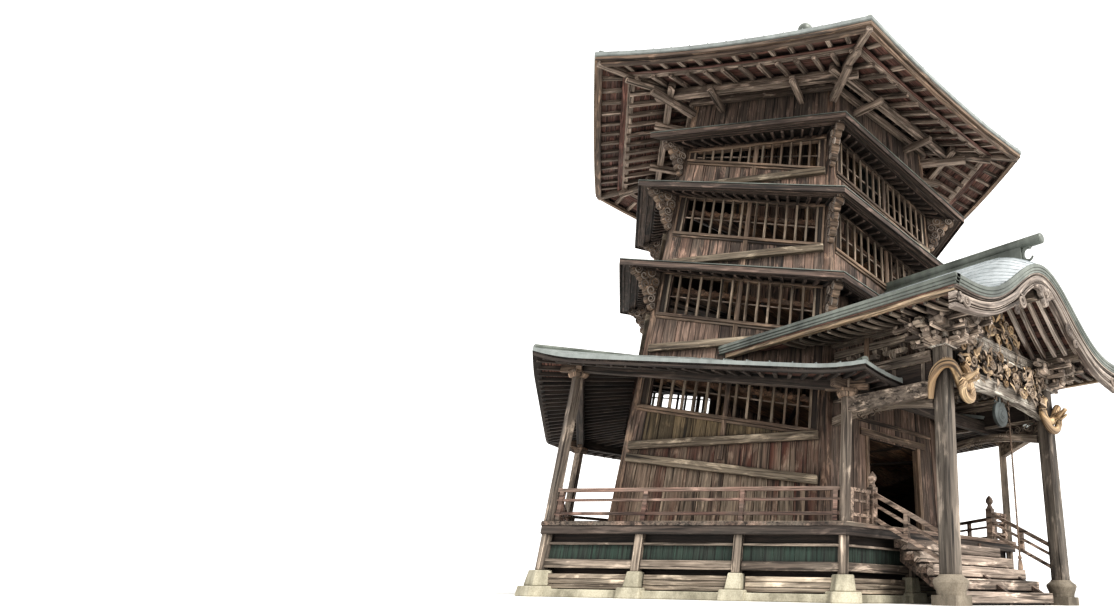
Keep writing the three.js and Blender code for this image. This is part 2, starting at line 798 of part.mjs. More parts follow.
// Porch columns on lathe-turned stones
const PLINTH = 430;
const STONE_HEIGHT = 420;
const COLUMN_TOP = 3950;
const columnStone = (x) => {
  const profile = [
    [0, 120],
    [215, 120],
    [225, 190],
    [275, 310],
    [270, 345],
    [195, 395],
    [185, STONE_HEIGHT],
    [0, STONE_HEIGHT],
  ];
  const geometry = new THREE.LatheGeometry(
    profile.map(([radius, z]) => new THREE.Vector2(radius, z)),
    20,
  );
  geometry.rotateX(Math.PI / 2);
  geometry.translate(x, COLUMN_Y, 0);
  return solid(geometry).add(post(x, COLUMN_Y, 0, PLINTH, 0, 140));
};

function chamferedColumn(x) {
  const half = COLUMN / 2;
  const cut = 45;
  const loop = (z) =>
    [
      [half, half - cut],
      [half - cut, half],
      [cut - half, half],
      [-half, half - cut],
      [-half, cut - half],
      [cut - half, -half],
      [half - cut, -half],
      [half, cut - half],
    ].map(([dx, dy]) => [x + dx, COLUMN_Y + dy, z]);
  return loft([loop(STONE_HEIGHT + GAP), loop(COLUMN_TOP)]);
}

const CAPITAL_TOP = 4200;
const capital = (x) =>
  post(x, COLUMN_Y, 0, 330, COLUMN_TOP + GAP, COLUMN_TOP + 90, 460).add(
    post(x, COLUMN_Y, 0, 460, COLUMN_TOP + 90, CAPITAL_TOP),
  );

[-1, 1].forEach((sign) => {
  const name = sign < 0 ? "left" : "right";
  const x = sign * COLUMN_X;
  add(porch, "column_stone_" + name, columnStone(x), stone);
  add(porch, "porch_column_" + name, chamferedColumn(x), greyWood);
});

// Beams of the porch
const beamHalf = COLUMN_X - COLUMN / 2 - GAP;
const RAINBOW_POINTS = 8;
const rainbowEdge = (base, lift) => {
  const edge = [];
  for (let i = 0; i <= RAINBOW_POINTS; i++) {
    const x = mix(-beamHalf, beamHalf, i / RAINBOW_POINTS);
    edge.push([x, base + lift * Math.cos((Math.PI * x) / 2 / beamHalf)]);
  }
  return edge;
};
const RAINBOW_HALF = 95;
const rainbowTop = rainbowEdge(3660, 90);
const rainbowUnder = rainbowEdge(3360, 130);
const rainbowLoop = (y) => [...rainbowTop, ...[...rainbowUnder].reverse()].map(([x, z]) => [x, y, z]);

// The height of an edge made of straight stretches
function edgeHeight(edge, x) {
  const next = edge.findIndex(([at]) => at > x);
  const [[x0, z0], [x1, z1]] = [edge[next - 1], edge[next]];
  return mix(z0, z1, (x - x0) / (x1 - x0));
}

const rainbowBody = loft([rainbowLoop(COLUMN_Y - RAINBOW_HALF), rainbowLoop(COLUMN_Y + RAINBOW_HALF)]);
add(porch, "rainbow_beam", rainbowBody, greyWood);

const TRANSOM_HALF = 900;
const TRANSOM_BOTTOM = Math.max(...rainbowTop.map(([, z]) => z)) + GAP;
const transom = box(
  [-TRANSOM_HALF, COLUMN_Y - 50, TRANSOM_BOTTOM],
  [TRANSOM_HALF, COLUMN_Y + 50, CAPITAL_TOP - GAP],
);
add(porch, "carved_transom", transom, darkWood);

const UPPER_BEAM_TOP = 4480;
const UPPER_BEAM_REACH = 2200;
const upperBeam = box(
  [-UPPER_BEAM_REACH, COLUMN_Y - 110, CAPITAL_TOP],
  [UPPER_BEAM_REACH, COLUMN_Y + 110, UPPER_BEAM_TOP],
);
add(porch, "upper_beam", join([upperBeam, capital(-COLUMN_X), capital(COLUMN_X)]), greyWood);

const SIDE_BEAM_HEIGHTS = [3300, 3030];
[-1, 1].forEach((sign) => {
  const name = sign < 0 ? "left" : "right";
  const corner = polar(VERANDA_RADIUS, sign < 0 ? -120 : -60, 0);
  const from = [sign * COLUMN_X, COLUMN_Y, SIDE_BEAM_HEIGHTS[0]];
  const to = [corner[0], corner[1], SIDE_BEAM_HEIGHTS[1]];
  const whole = beam(from, to, 130, 260);
  const clearOfColumn = box(
    [from[0] - COLUMN / 2 - GAP, COLUMN_Y - COLUMN, 0],
    [from[0] + COLUMN / 2 + GAP, COLUMN_Y + COLUMN / 2 + GAP, COLUMN_TOP],
  );
  const angle = sign < 0 ? -120 : -60;
  const clearOfPost = post(corner[0], corner[1], angle, VERANDA_POST + 2 * GAP, 0, COLUMN_TOP);
  add(porch, "side_beam_" + name, whole.subtract(clearOfColumn).subtract(clearOfPost), greyWood);
});

// Purlins under the roof's slopes, cut to its underside
const aboveUnderside = bellBody(PORCH_ROWS, -WELL_CLEAR, PORCH_SHELL + GAP);
const PURLIN_HALF = 85;
const PURLIN_END = PORCH_FRONT + 150;
[-1, 1].forEach((sign) => {
  const x = sign * COLUMN_X;
  const whole = box(
    [x - PURLIN_HALF, PURLIN_END, UPPER_BEAM_TOP + GAP],
    [x + PURLIN_HALF, PORCH_BACK, PORCH_RIDGE],
  );
  const body = whole.subtract(aboveUnderside).subtract(towerSpace);
  add(porch, "porch_purlin_" + (sign < 0 ? "left" : "right"), body, greyWood);
});

// Bargeboard under the front edge
const BOARD_TOP = 72;
const BOARD_BOTTOM = 312;
const TIP_DEPTH = 180;
const BOARD_SPAN = 0.985;

// The board's edge at a depth under the roof's shell
function boardEdge(y, depth) {
  const edge = bellEdge(PORCH_FRONT, PORCH_SHELL);
  return edge.map(([x, , z]) => [x * BOARD_SPAN, y, z - depth(x)]);
}

function bargeboardLoop(y) {
  const lower = boardEdge(y, (x) => BOARD_BOTTOM + TIP_DEPTH * (Math.abs(x) / PORCH_HALF) ** 4);
  return [...boardEdge(y, () => BOARD_TOP), ...lower.reverse()];
}

const BOARD_FRONT = PORCH_FRONT + 40;
add(porch, "bargeboard", loft([bargeboardLoop(BOARD_FRONT), bargeboardLoop(PURLIN_END - GAP)]), greyWood);

// A dragon coils round each column head, held by a peg: its body, its neck and its head
const DRAGON_SIDES = 8;
const PEG_HALF = 40;
const PEG_LENGTH = 160;
const PEG_HEIGHTS = [3525, 3595];
const dragonStretches = [
  {
    thick: 75,
    spans: 36,
    route: [
      [-235, 120, 3220],
      [-245, 90, 3420],
      [-250, 20, 3610],
      [-215, -120, 3710],
      [-110, -235, 3690],
      [40, -250, 3540],
      [190, -230, 3390],
      [340, -205, 3340],
      [470, -190, 3440],
      [490, -190, 3620],
      [400, -195, 3760],
      [280, -195, 3740],
    ],
  },
  {
    thick: 65,
    spans: 18,
    route: [
      [485, -195, 3500],
      [550, -240, 3320],
      [500, -270, 3160],
      [350, -290, 3080],
      [190, -300, 3090],
      [70, -315, 3190],
      [50, -345, 3300],
    ],
  },
  {
    thick: 85,
    spans: 2,
    route: [
      [50, -340, 3280],
      [30, -380, 3360],
      [0, -430, 3420],
    ],
  },
];

// A round bar along a smooth curve through the points
function tube(points, thick, sides, segments) {
  const shape = new THREE.Shape();
  for (let i = 0; i < sides; i++) {
    const turn = (2 * Math.PI * i) / sides;
    const [x, y] = [thick * Math.cos(turn), thick * Math.sin(turn)];
    if (i === 0) shape.moveTo(x, y);
    else shape.lineTo(x, y);
  }
  const route = new THREE.CatmullRomCurve3(points.map((point) => new THREE.Vector3(...point)));
  const options = { steps: segments, extrudePath: route, bevelEnabled: false };
  return solid(new THREE.ExtrudeGeometry(shape, options));
}

[-1, 1].forEach((sign) => {
  const stretches = dragonStretches.map(({ thick, spans, route }) => {
    const points = route.map(([x, y, z]) => [sign * (COLUMN_X - x), COLUMN_Y + y, z]);
    return tube(points, thick, DRAGON_SIDES, spans);
  });
  const column = [sign * COLUMN_X, COLUMN_Y - COLUMN / 2 - GAP];
  const peg = box(
    [column[0] - PEG_HALF, column[1] - PEG_LENGTH, PEG_HEIGHTS[0]],
    [column[0] + PEG_HALF, column[1], PEG_HEIGHTS[1]],
  );
  add(porch, "dragon_coil_" + (sign < 0 ? "left" : "right"), join([...stretches, peg]), dragonWood);
});

// A gong under the rainbow beam, and the bell rope beside it
const GONG_RADIUS = 230;
const GONG_HALF = 55;
const GONG_Z = 3160;
const gongProfile = [
  [0, -GONG_HALF],
  [150, -GONG_HALF],
  [GONG_RADIUS, -20],
  [GONG_RADIUS, 20],
  [150, GONG_HALF],
  [0, GONG_HALF],
].map(([radius, depth]) => new THREE.Vector2(radius, depth));
const gongGeometry = new THREE.LatheGeometry(gongProfile, 24);
gongGeometry.translate(0, COLUMN_Y, GONG_Z);
const HOOK_HALF = 25;
const hookTop = edgeHeight(rainbowUnder, HOOK_HALF) - GAP;
const HOOK_THICK = 15;
const hookFoot = GONG_Z + GONG_RADIUS - 30;
const gongHook = box(
  [-HOOK_HALF, COLUMN_Y - HOOK_THICK, hookFoot],
  [HOOK_HALF, COLUMN_Y + HOOK_THICK, hookTop],
);
add(porch, "gong", solid(gongGeometry).add(gongHook), bronze);

const ROPE_X = 330;
const ROPE_THICK = 18;
const ropeTop = edgeHeight(rainbowUnder, ROPE_X + ROPE_THICK) - GAP;
const ROPE_END = 680;
const ropeRoute = [ropeTop, 2600, 1700, ROPE_END].map((z) => [ROPE_X, COLUMN_Y, z]);
add(porch, "bell_rope", tube(ropeRoute, ROPE_THICK, 12, 30), ropeFibre);

// Roof and finial
const plateTop = WALL_TOP + 200;
const plateOuter = shaftRadius(WALL_TOP) + 60;
const plateInner = shaftRadius(WALL_TOP) - 200;
const plate = hexRing(plateOuter, plateInner, WALL_TOP + GAP, plateTop);
add(roof, "wall_plate", plate, darkWood);

const roofOuter = [
  [0, ROOF_APEX],
  [420, ROOF_APEX - 90],
  [900, 14100],
  [1700, 13330],
  [2700, 12560],
  [3800, 11880],
  [5000, 11340],
  [ROOF_RADIUS, EAVE_EDGE],
];
const roofInner = [
  [ROOF_RADIUS, EAVE_EDGE - 110],
  [5900, EAVE_EDGE - 110],
  [plateOuter + 10, plateTop + GAP],
  [plateInner, plateTop + GAP],
  [1700, 12850],
  [500, 14000],
  [0, 14200],
];
const roofProfile = [...roofOuter, ...roofInner].reverse().map(([radius, z]) => new THREE.Vector2(radius, z));
const roofGeometry = new THREE.LatheGeometry(roofProfile, 6, radians(30));
roofGeometry.rotateX(Math.PI / 2);
add(roof, "main_roof", solid(roofGeometry), roofMetal);

const finialProfile = [
  [0, ROOF_APEX + GAP],
  [330, ROOF_APEX + GAP],
  [330, ROOF_APEX + 260],
  [210, ROOF_APEX + 320],
  [210, ROOF_APEX + 420],
  [330, ROOF_APEX + 520],
  [360, ROOF_APEX + 700],
  [300, ROOF_APEX + 900],
  [140, ROOF_APEX + 1060],
  [90, ROOF_APEX + 1250],
  [60, FINIAL_TOP - 200],
  [0, FINIAL_TOP],
];
const finialGeometry = new THREE.LatheGeometry(
  finialProfile.map(([radius, z]) => new THREE.Vector2(radius, z)),
  16,
);
finialGeometry.rotateX(Math.PI / 2);
add(roof, "finial", solid(finialGeometry), roofMetal);

export default pagoda;
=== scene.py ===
"""A hexagonal wooden pagoda with climbing eaves and a curved-gable porch, in metres."""
import math
import random

import bmesh
import bpy
from mathutils import Matrix, Vector


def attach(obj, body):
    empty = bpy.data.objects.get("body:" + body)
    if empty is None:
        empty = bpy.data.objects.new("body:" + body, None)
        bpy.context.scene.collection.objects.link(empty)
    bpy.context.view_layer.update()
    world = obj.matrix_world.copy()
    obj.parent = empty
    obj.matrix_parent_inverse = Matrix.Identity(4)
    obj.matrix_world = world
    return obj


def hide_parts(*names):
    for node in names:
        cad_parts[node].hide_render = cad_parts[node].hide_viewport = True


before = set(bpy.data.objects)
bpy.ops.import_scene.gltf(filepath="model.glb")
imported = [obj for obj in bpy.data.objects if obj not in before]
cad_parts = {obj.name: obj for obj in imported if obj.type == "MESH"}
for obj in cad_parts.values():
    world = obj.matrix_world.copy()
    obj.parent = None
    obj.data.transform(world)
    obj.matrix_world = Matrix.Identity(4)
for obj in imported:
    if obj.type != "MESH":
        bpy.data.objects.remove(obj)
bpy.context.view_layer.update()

random.seed(7)
X, Y, Z = Vector((1, 0, 0)), Vector((0, 1, 0)), Vector((0, 0, 1))

# Driving sizes of the building
DECK = 1.16
DECK_RADIUS = 5.33
WALL_TOP = 11.3
FACE_COS = math.cos(math.pi / 6)
CORNERS = (-120, 180, 120, 60, 0, -60)
SIDES = ("front_left", "back_left", "back", "back_right", "front_right", "front")
POST_OUT = 0.02
RISE = 0.66
RAMP_START = 1.49
RAMP_END = 10
EAVE_ABOVE_FLOOR = 2.24
EAVE_REACH = 0.95
EAVE_FALL = 0.26
VERANDA = 5.18
SKIRT = 6.1
COLUMN = 0.28
COLUMN_X = 1.81
COLUMN_Y = -5.95


# Camera, set where the photographer stood

CAMERA_PLACE = Vector((-11.127, -12.197, 0.172))
CAMERA_YAW = 0.848
CAMERA_PITCH = 0.435
CAMERA_ROLL = 0.019
PHOTO = (1114, 610)
FOCAL_PIXELS = 683.68
OPTICAL_AXIS = (857.3, 273.3)
SENSOR = 36.0


def make_camera():
    level = Vector((math.cos(CAMERA_YAW), -math.sin(CAMERA_YAW), 0))
    forward = Vector((math.sin(CAMERA_YAW), math.cos(CAMERA_YAW), math.tan(CAMERA_PITCH))).normalized()
    upward = level.cross(forward)
    right = level * math.cos(CAMERA_ROLL) + upward * math.sin(CAMERA_ROLL)
    up = upward * math.cos(CAMERA_ROLL) - level * math.sin(CAMERA_ROLL)
    data = bpy.data.cameras.new("camera")
    data.sensor_width = SENSOR
    data.lens = FOCAL_PIXELS * SENSOR / PHOTO[0]
    data.shift_x = (PHOTO[0] / 2 - OPTICAL_AXIS[0]) / PHOTO[0]
    data.shift_y = (OPTICAL_AXIS[1] - PHOTO[1] / 2) / PHOTO[0]
    data.clip_end = 200
    camera = bpy.data.objects.new("camera", data)
    turn = Matrix((right, up, -forward)).transposed().to_4x4()
    camera.matrix_world = Matrix.Translation(CAMERA_PLACE) @ turn
    bpy.context.scene.collection.objects.link(camera)
    bpy.context.scene.camera = camera


make_camera()


# Materials

class Look:
    """A procedural material, built node by node"""

    def __init__(self, name, roughness, metallic=0.0):
        self.material = bpy.data.materials.new(name)
        self.material.use_nodes = True
        self.tree = self.material.node_tree
        self.tree.nodes.clear()
        output = self.node("OutputMaterial")
        self.shader = self.node("BsdfPrincipled")
        self.shader.inputs["Roughness"].default_value = roughness
        self.shader.inputs["Metallic"].default_value = metallic
        self.join(self.shader.outputs[0], output.inputs["Surface"])

    def node(self, kind, **settings):
        made = self.tree.nodes.new("ShaderNode" + kind)
        for key, value in settings.items():
            setattr(made, key, value)
        return made

    def join(self, source, target):
        self.tree.links.new(source, target)

    def place(self, source, scale, turn=(0, 0, 0)):
        """Texture coordinates, turned and then stretched"""
        where = self.node("TexCoord").outputs[source]
        if any(turn):
            spin = self.node("Mapping", vector_type="POINT")
            spin.inputs["Rotation"].default_value = turn
            self.join(where, spin.inputs["Vector"])
            where = spin.outputs["Vector"]
        stretch = self.node("Mapping", vector_type="POINT")
        stretch.inputs["Scale"].default_value = scale
        self.join(where, stretch.inputs["Vector"])
        return stretch.outputs["Vector"]

    def noise(self, vector, scale, detail=4.0, roughness=0.6, distortion=0.0):
        made = self.node("TexNoise")
        made.inputs["Scale"].default_value = scale
        made.inputs["Detail"].default_value = detail
        made.inputs["Roughness"].default_value = roughness
        made.inputs["Distortion"].default_value = distortion
        self.join(vector, made.inputs["Vector"])
        return made.outputs["Fac"]

    def ramp(self, factor, stops):
        made = self.node("ValToRGB")
        points = made.color_ramp.elements
        while len(points) < len(stops):
            points.new(0.5)
        for point, (position, colour) in zip(points, stops):
            point.position = position
            point.color = (*colour, 1)
        self.join(factor, made.inputs["Fac"])
        return made.outputs["Color"]

    def painted_occlusion_shade(self, colour):
        """Painted shade: the colour darkens where the surface is hemmed in, as ambient occlusion"""
        made = self.node("AmbientOcclusion", samples=4)
        made.inputs["Distance"].default_value = PAINTED_SHADE_REACH
        shade = self.ramp(made.outputs["AO"], [(0.15, (0.24, 0.21, 0.19)), (0.8, (1, 1, 1))])
        return self.mix(1.0, colour, shade, "MULTIPLY")

    def mix(self, factor, first, second, blend="MIX"):
        made = self.node("Mix", data_type="RGBA", blend_type=blend)
        for socket, value in ((made.inputs[0], factor), (made.inputs[6], first), (made.inputs[7], second)):
            if hasattr(value, "links"):
                self.join(value, socket)
            elif isinstance(value, (int, float)):
                socket.default_value = value
            else:
                socket.default_value = (*value, 1)
        return made.outputs[2]

    def bump(self, height, strength, distance):
        made = self.node("Bump")
        made.inputs["Strength"].default_value = strength
        made.inputs["Distance"].default_value = distance
        self.join(height, made.inputs["Height"])
        self.join(made.outputs["Normal"], self.shader.inputs["Normal"])

    def paint(self, colour):
        self.join(colour, self.shader.inputs["Base Color"])
        return self.material


GREY = (0.21, 0.18, 0.15)
# How far the painted shade in hollows looks for nearby surfaces
PAINTED_SHADE_REACH = 0.22
WOOD_DEPTH = 0.5
BLACK, WHITE = (0, 0, 0), (1, 1, 1)
UPRIGHT = (0, math.pi / 2, 0)


def along(degrees):
    """Turns coordinates so that a level timber in that direction has its grain along it"""
    return (0, 0, -math.radians(degrees))


def wood(name, dark, light, grey=0.35, roughness=0.8, source="UV", turn=(0, 0, 0), grey_colour=GREY,
         worn=0.45):
    """Weathered wood whose grain runs along the first axis of its coordinates"""
    look = Look(name, roughness)
    dark, light, grey_colour = (tuple(WOOD_DEPTH * value for value in tint)
                                for tint in (dark, light, grey_colour))
    pale = tuple(min(1.0, 2.1 * value + 0.03) for value in light)
    tone = look.noise(look.place(source, (0.11, 1.3, 1.3), turn), 1.0, 2.0)
    grain = look.noise(look.place(source, (1.2, 26, 26), turn), 1.0, 6.0, 0.65, 0.6)
    crack = look.noise(look.place(source, (0.5, 14, 14), turn), 1.0, 3.0, 0.5, 0.3)
    weather = look.noise(look.place(source, (0.9, 2.2, 2.2), turn), 1.0, 5.0, 0.65)
    rubbed = look.noise(look.place(source, (1.6, 5, 5), turn), 1.0, 6.0, 0.62, 0.5)
    base = look.mix(look.ramp(tone, [(0.42, BLACK), (0.58, WHITE)]), dark, light)
    washed = look.mix(look.ramp(weather, [(0.5 - grey * 0.35, BLACK), (0.72, WHITE)]), base, grey_colour)
    streaked = look.mix(look.ramp(rubbed, [(0.54, BLACK), (0.64, (worn, worn, worn))]), washed, pale)
    shade = look.ramp(grain,
                      [(0.36, (0.32, 0.29, 0.27)), (0.5, (0.93, 0.91, 0.88)), (0.64, (1.5, 1.46, 1.42))])
    split = look.ramp(crack, [(0.37, (0.16, 0.14, 0.12)), (0.41, WHITE)])
    colour = look.mix(0.9, look.mix(1.0, streaked, shade, "MULTIPLY"), split, "MULTIPLY")
    look.bump(grain, 0.6, 0.008)
    # The colour takes painted shade where the surface is hemmed in
    return look.paint(look.painted_occlusion_shade(colour))


def sheet_metal(name, dark, light, metallic=0.35, roughness=0.42):
    """Weathered sheet with blotches and faint streaks"""
    look = Look(name, roughness, metallic)
    cloud = look.noise(look.place("Object", (1, 1, 1)), 0.9, 5.0, 0.6)
    streak = look.noise(look.place("Object", (5, 5, 0.4)), 1.2, 4.0, 0.6)
    base = look.mix(look.ramp(cloud, [(0.35, BLACK), (0.65, WHITE)]), dark, light)
    streaks = look.ramp(streak, [(0.3, (0.6, 0.6, 0.6)), (0.6, (1.1, 1.1, 1.1))])
    look.bump(cloud, 0.15, 0.01)
    return look.paint(look.mix(0.6, base, streaks, "MULTIPLY"))


def rough_stone(name, dark, light):
    look = Look(name, 0.92)
    speck = look.noise(look.place("Object", (1, 1, 1)), 45, 6.0, 0.7)
    stain = look.noise(look.place("Object", (1, 1, 0.6)), 2.4, 5.0, 0.6)
    base = look.mix(look.ramp(stain, [(0.35, BLACK), (0.62, WHITE)]), dark, light)
    specks = look.ramp(speck, [(0.3, (0.62, 0.6, 0.56)), (0.65, (1.1, 1.1, 1.08))])
    look.bump(speck, 0.35, 0.006)
    return look.paint(look.mix(0.8, base, specks, "MULTIPLY"))


DARK_WOOD = (0.03, 0.02, 0.016), (0.08, 0.052, 0.04)
RAIL_WOOD = (0.14, 0.065, 0.05), (0.42, 0.275, 0.225)
OLD_WOOD = (0.185, 0.142, 0.115), (0.6, 0.5, 0.41)

# Woods seen along their own grain: material, darkest, lightest, share of grey, grey, share worn pale
WOODS = {
    "wall": ("wall_wood", (0.085, 0.048, 0.038), (0.52, 0.34, 0.26), 0.4, GREY, 0.45),
    "wall_low": ("wall_wood_low", (0.15, 0.055, 0.036), (0.45, 0.36, 0.275), 0.2, (0.24, 0.19, 0.145), 0.3),
    "wall_first": ("wall_wood_first", (0.07, 0.044, 0.034), (0.34, 0.23, 0.18), 0.4, (0.17, 0.135, 0.11),
                   0.4),
    "wall_mid": ("wall_wood_mid", (0.11, 0.08, 0.045), (0.31, 0.225, 0.125), 0.3, (0.2, 0.16, 0.1), 0.4),
    "upper": ("upper_wall_wood", (0.06, 0.042, 0.035), (0.22, 0.155, 0.125), 0.35, (0.15, 0.12, 0.1), 0.45),
    "eave": ("eave_wood", (0.05, 0.032, 0.026), (0.19, 0.13, 0.105), 0.35, (0.12, 0.095, 0.08), 0.5),
    "nosing": ("nosing_wood", (0.18, 0.135, 0.11), (0.74, 0.61, 0.52), 0.4, (0.4, 0.34, 0.29), 0.6),
    "bracket": ("bracket_wood", (0.12, 0.09, 0.075), (0.74, 0.61, 0.51), 0.35, (0.36, 0.31, 0.27), 0.7),
    "bars": ("lattice_wood", (0.2, 0.14, 0.1), (0.5, 0.4, 0.31), 0.3, (0.32, 0.28, 0.23), 0.45),
    "pale": ("pale_carving", (0.3, 0.25, 0.2), (0.6, 0.54, 0.46), 0.3, (0.4, 0.37, 0.33), 0.45),
    "tan": ("tan_board", (0.34, 0.24, 0.15), (0.7, 0.54, 0.38), 0.15, (0.4, 0.33, 0.26), 0.45),
    "old_rafter": ("rafter_wood", (0.17, 0.125, 0.1), (0.6, 0.48, 0.4), 0.35, (0.3, 0.25, 0.21), 0.45),
    "red_board": ("red_board", (0.12, 0.05, 0.04), (0.34, 0.165, 0.13), 0.25, (0.25, 0.18, 0.155), 0.45),
    "old_board": ("old_board", (0.22, 0.17, 0.13), (0.74, 0.63, 0.5), 0.35, (0.5, 0.44, 0.36), 0.5),
    "edge_board": ("edge_board", (0.03, 0.02, 0.017), (0.11, 0.08, 0.065), 0.35, (0.08, 0.068, 0.058), 0.4),
    "brace": ("brace_wood", (0.18, 0.14, 0.1), (0.58, 0.49, 0.375), 0.3, (0.34, 0.29, 0.225), 0.5),
    "brown": ("brown_wood", (0.12, 0.08, 0.06), (0.4, 0.28, 0.2), 0.3, (0.24, 0.19, 0.15), 0.45),
    "rib": ("rib_wood", (0.8, 0.65, 0.56), (1.6, 1.42, 1.28), 0.3, (1.15, 1.05, 0.97), 0.45),
    "gable": ("gable_wood", (0.16, 0.12, 0.1), (0.56, 0.48, 0.42), 0.4, (0.4, 0.355, 0.325), 0.4),
    "white_tip": ("whitened_tip", (0.5, 0.47, 0.42), (0.75, 0.72, 0.66), 0.1, GREY, 0.45),
    "pillar": ("pillar_wood", (0.34, 0.2, 0.11), (0.6, 0.42, 0.27), 0.15, GREY, 0.45),
    "dark": ("dark_wood", *DARK_WOOD, 0.15, (0.06, 0.05, 0.04), 0.1),
    "old": ("grey_wood", *OLD_WOOD, 0.6, GREY, 0.45),
    "green": ("green_boards", (0.02, 0.045, 0.034), (0.035, 0.075, 0.056), 0.3, (0.045, 0.055, 0.045), 0.0),
}
looks = {key: wood(name, dark, light, grey, grey_colour=tint, worn=worn)
         for key, (name, dark, light, grey, tint, worn) in WOODS.items()}

# Woods of the CAD nodes: as above, with the grain's direction before the worn share
CAD_WOODS = {
    "column": ("column_wood", (0.08, 0.064, 0.052), (0.27, 0.228, 0.19), 0.5, (0.17, 0.15, 0.128), UPRIGHT,
               0.45),
    "pale_beam": ("pale_beam_wood", (0.3, 0.26, 0.22), (1.0, 0.93, 0.84), 0.4, (0.64, 0.6, 0.55), along(0),
                  0.55),
    "step": ("step_wood", (0.07, 0.045, 0.035), (0.26, 0.18, 0.14), 0.3, GREY, along(0), 0.45),
    "post": ("post_wood", (0.14, 0.08, 0.055), (0.44, 0.3, 0.21), 0.35, (0.28, 0.22, 0.18), UPRIGHT, 0.45),
    "dark_cad": ("dark_wood_upright", *DARK_WOOD, 0.15, (0.06, 0.05, 0.04), UPRIGHT, 0.1),
    "red_cad": ("red_board_deep", (0.05, 0.018, 0.016), (0.13, 0.05, 0.042), 0.15, (0.12, 0.08, 0.07),
                along(90), 0.45),
    "old_cad": ("grey_wood_upright", *OLD_WOOD, 0.55, GREY, UPRIGHT, 0.45),
    "old_x": ("grey_wood_level", *OLD_WOOD, 0.55, GREY, along(0), 0.45),
    "old_y": ("grey_wood_deep", *OLD_WOOD, 0.55, GREY, along(90), 0.45),
    "stair_rail": ("stair_rail_wood", (0.16, 0.105, 0.08), (0.6, 0.45, 0.36), 0.4, (0.34, 0.28, 0.235),
                   along(90), 0.45),
    "rail_0": ("rail_wood_0", *RAIL_WOOD, 0.3, GREY, along(0), 0.45),
    "rail_60": ("rail_wood_60", *RAIL_WOOD, 0.3, GREY, along(60), 0.45),
    "rail_120": ("rail_wood_120", *RAIL_WOOD, 0.3, GREY, along(120), 0.45),
}
for key, (name, dark, light, grey, tint, turn, worn) in CAD_WOODS.items():
    looks[key] = wood(name, dark, light, grey, source="Object", turn=turn, grey_colour=tint, worn=worn)

looks |= {
    "ramp": wood("ramp_wood", (0.14, 0.075, 0.045), (0.42, 0.26, 0.16), 0.1, 0.5),
    "ramp_cad": wood("ramp_boards", (0.14, 0.075, 0.045), (0.36, 0.22, 0.14), 0.1, 0.55, source="Object"),
    "gold": wood("carved_wood", (0.42, 0.27, 0.14), (1.0, 0.74, 0.46), 0.2, 0.6,
                 grey_colour=(0.5, 0.38, 0.26), worn=0.3),
    "gold_dark": wood("dark_carved_wood", (0.2, 0.14, 0.1), (0.55, 0.42, 0.3), 0.3, 0.6,
                      grey_colour=(0.36, 0.3, 0.25)),
    "rope": wood("rope_fibre", (0.1, 0.066, 0.048), (0.4, 0.29, 0.215), 0.1, 0.9,
                 grey_colour=(0.26, 0.2, 0.155)),
    "metal": sheet_metal("roof_sheet", (0.17, 0.185, 0.178), (0.24, 0.26, 0.25), roughness=0.55),
    "pale_metal": sheet_metal("pale_sheet", (0.3, 0.33, 0.34), (0.5, 0.53, 0.545), metallic=0.2,
                              roughness=0.4),
    "metal_edge": sheet_metal("roof_edge", (0.04, 0.047, 0.04), (0.15, 0.165, 0.145), metallic=0.1),
    "bronze": sheet_metal("old_bronze", (0.018, 0.021, 0.02), (0.07, 0.08, 0.08), metallic=0.5,
                          roughness=0.45),
    "stone": rough_stone("footing_stone", (0.2, 0.185, 0.14), (0.46, 0.43, 0.34)),
    "pedestal": rough_stone("pedestal_stone", (0.07, 0.058, 0.044), (0.22, 0.19, 0.152)),
}

SIDE_DIRECTION = {"front_left": 120, "back_left": 60, "back": 0, "back_right": 120, "front_right": 60}
NODE_LOOKS = {
    "stone_kerb": "stone", "shaft_foundation": "stone", "underfloor_frame": "dark_cad",
    "core_tube": "dark_cad",
    "veranda_deck": "step", "veranda_frame": "old_cad", "stair_flight": "step", "rainbow_beam": "pale_beam",
    "carved_transom": "dark_cad", "upper_beam": "pale_beam", "bargeboard": "old_x", "wall_plate": "dark_cad",
    "main_roof": "dark_cad", "finial": "metal_edge", "porch_roof": "red_cad", "porch_ridge": "metal_edge",
    "gong": "bronze", "bell_rope": "rope",
}
PAIR_LOOKS = {"column_stone_": "pedestal", "porch_column_": "column", "side_beam_": "old_y",
              "porch_purlin_": "old_y", "stair_railing_": "stair_rail", "dragon_coil_": "gold"}


def coat(node, look):
    """Gives a carried-over CAD node its material"""
    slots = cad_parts[node].data.materials
    slots.clear()
    slots.append(looks[look])


def coat_cad():
    for side in SIDES:
        coat("wall_" + side, "dark_cad")
    for side, degrees in SIDE_DIRECTION.items():
        coat("skirt_roof_" + side, "dark_cad")
        coat("railing_" + side, f"rail_{degrees}")
    for index in range(1, 7):
        coat(f"corner_post_{index}", "post")
    for name in ("up", "down"):
        coat(name + "_ramp", "ramp_cad")
        coat(name + "_eave_lower", "dark_cad")
        coat(name + "_eave_upper", "dark_cad")
    for side in ("left", "right"):
        for node, look in PAIR_LOOKS.items():
            coat(node + side, look)
    for node, look in NODE_LOOKS.items():
        coat(node, look)


coat_cad()


# Floor and light

FLOOR_HALF = 60
SKY_STRENGTH = 1.5
LIGHT_COLOUR = (1.0, 0.97, 0.92)
# Strength, spread and turn of the sun, and of a low soft light that reaches the walls under the eaves
LIGHTS = {"sun": (2.6, 12, (45, -6, -12)), "low_light": (1.2, 40, (72, 0, 20))}


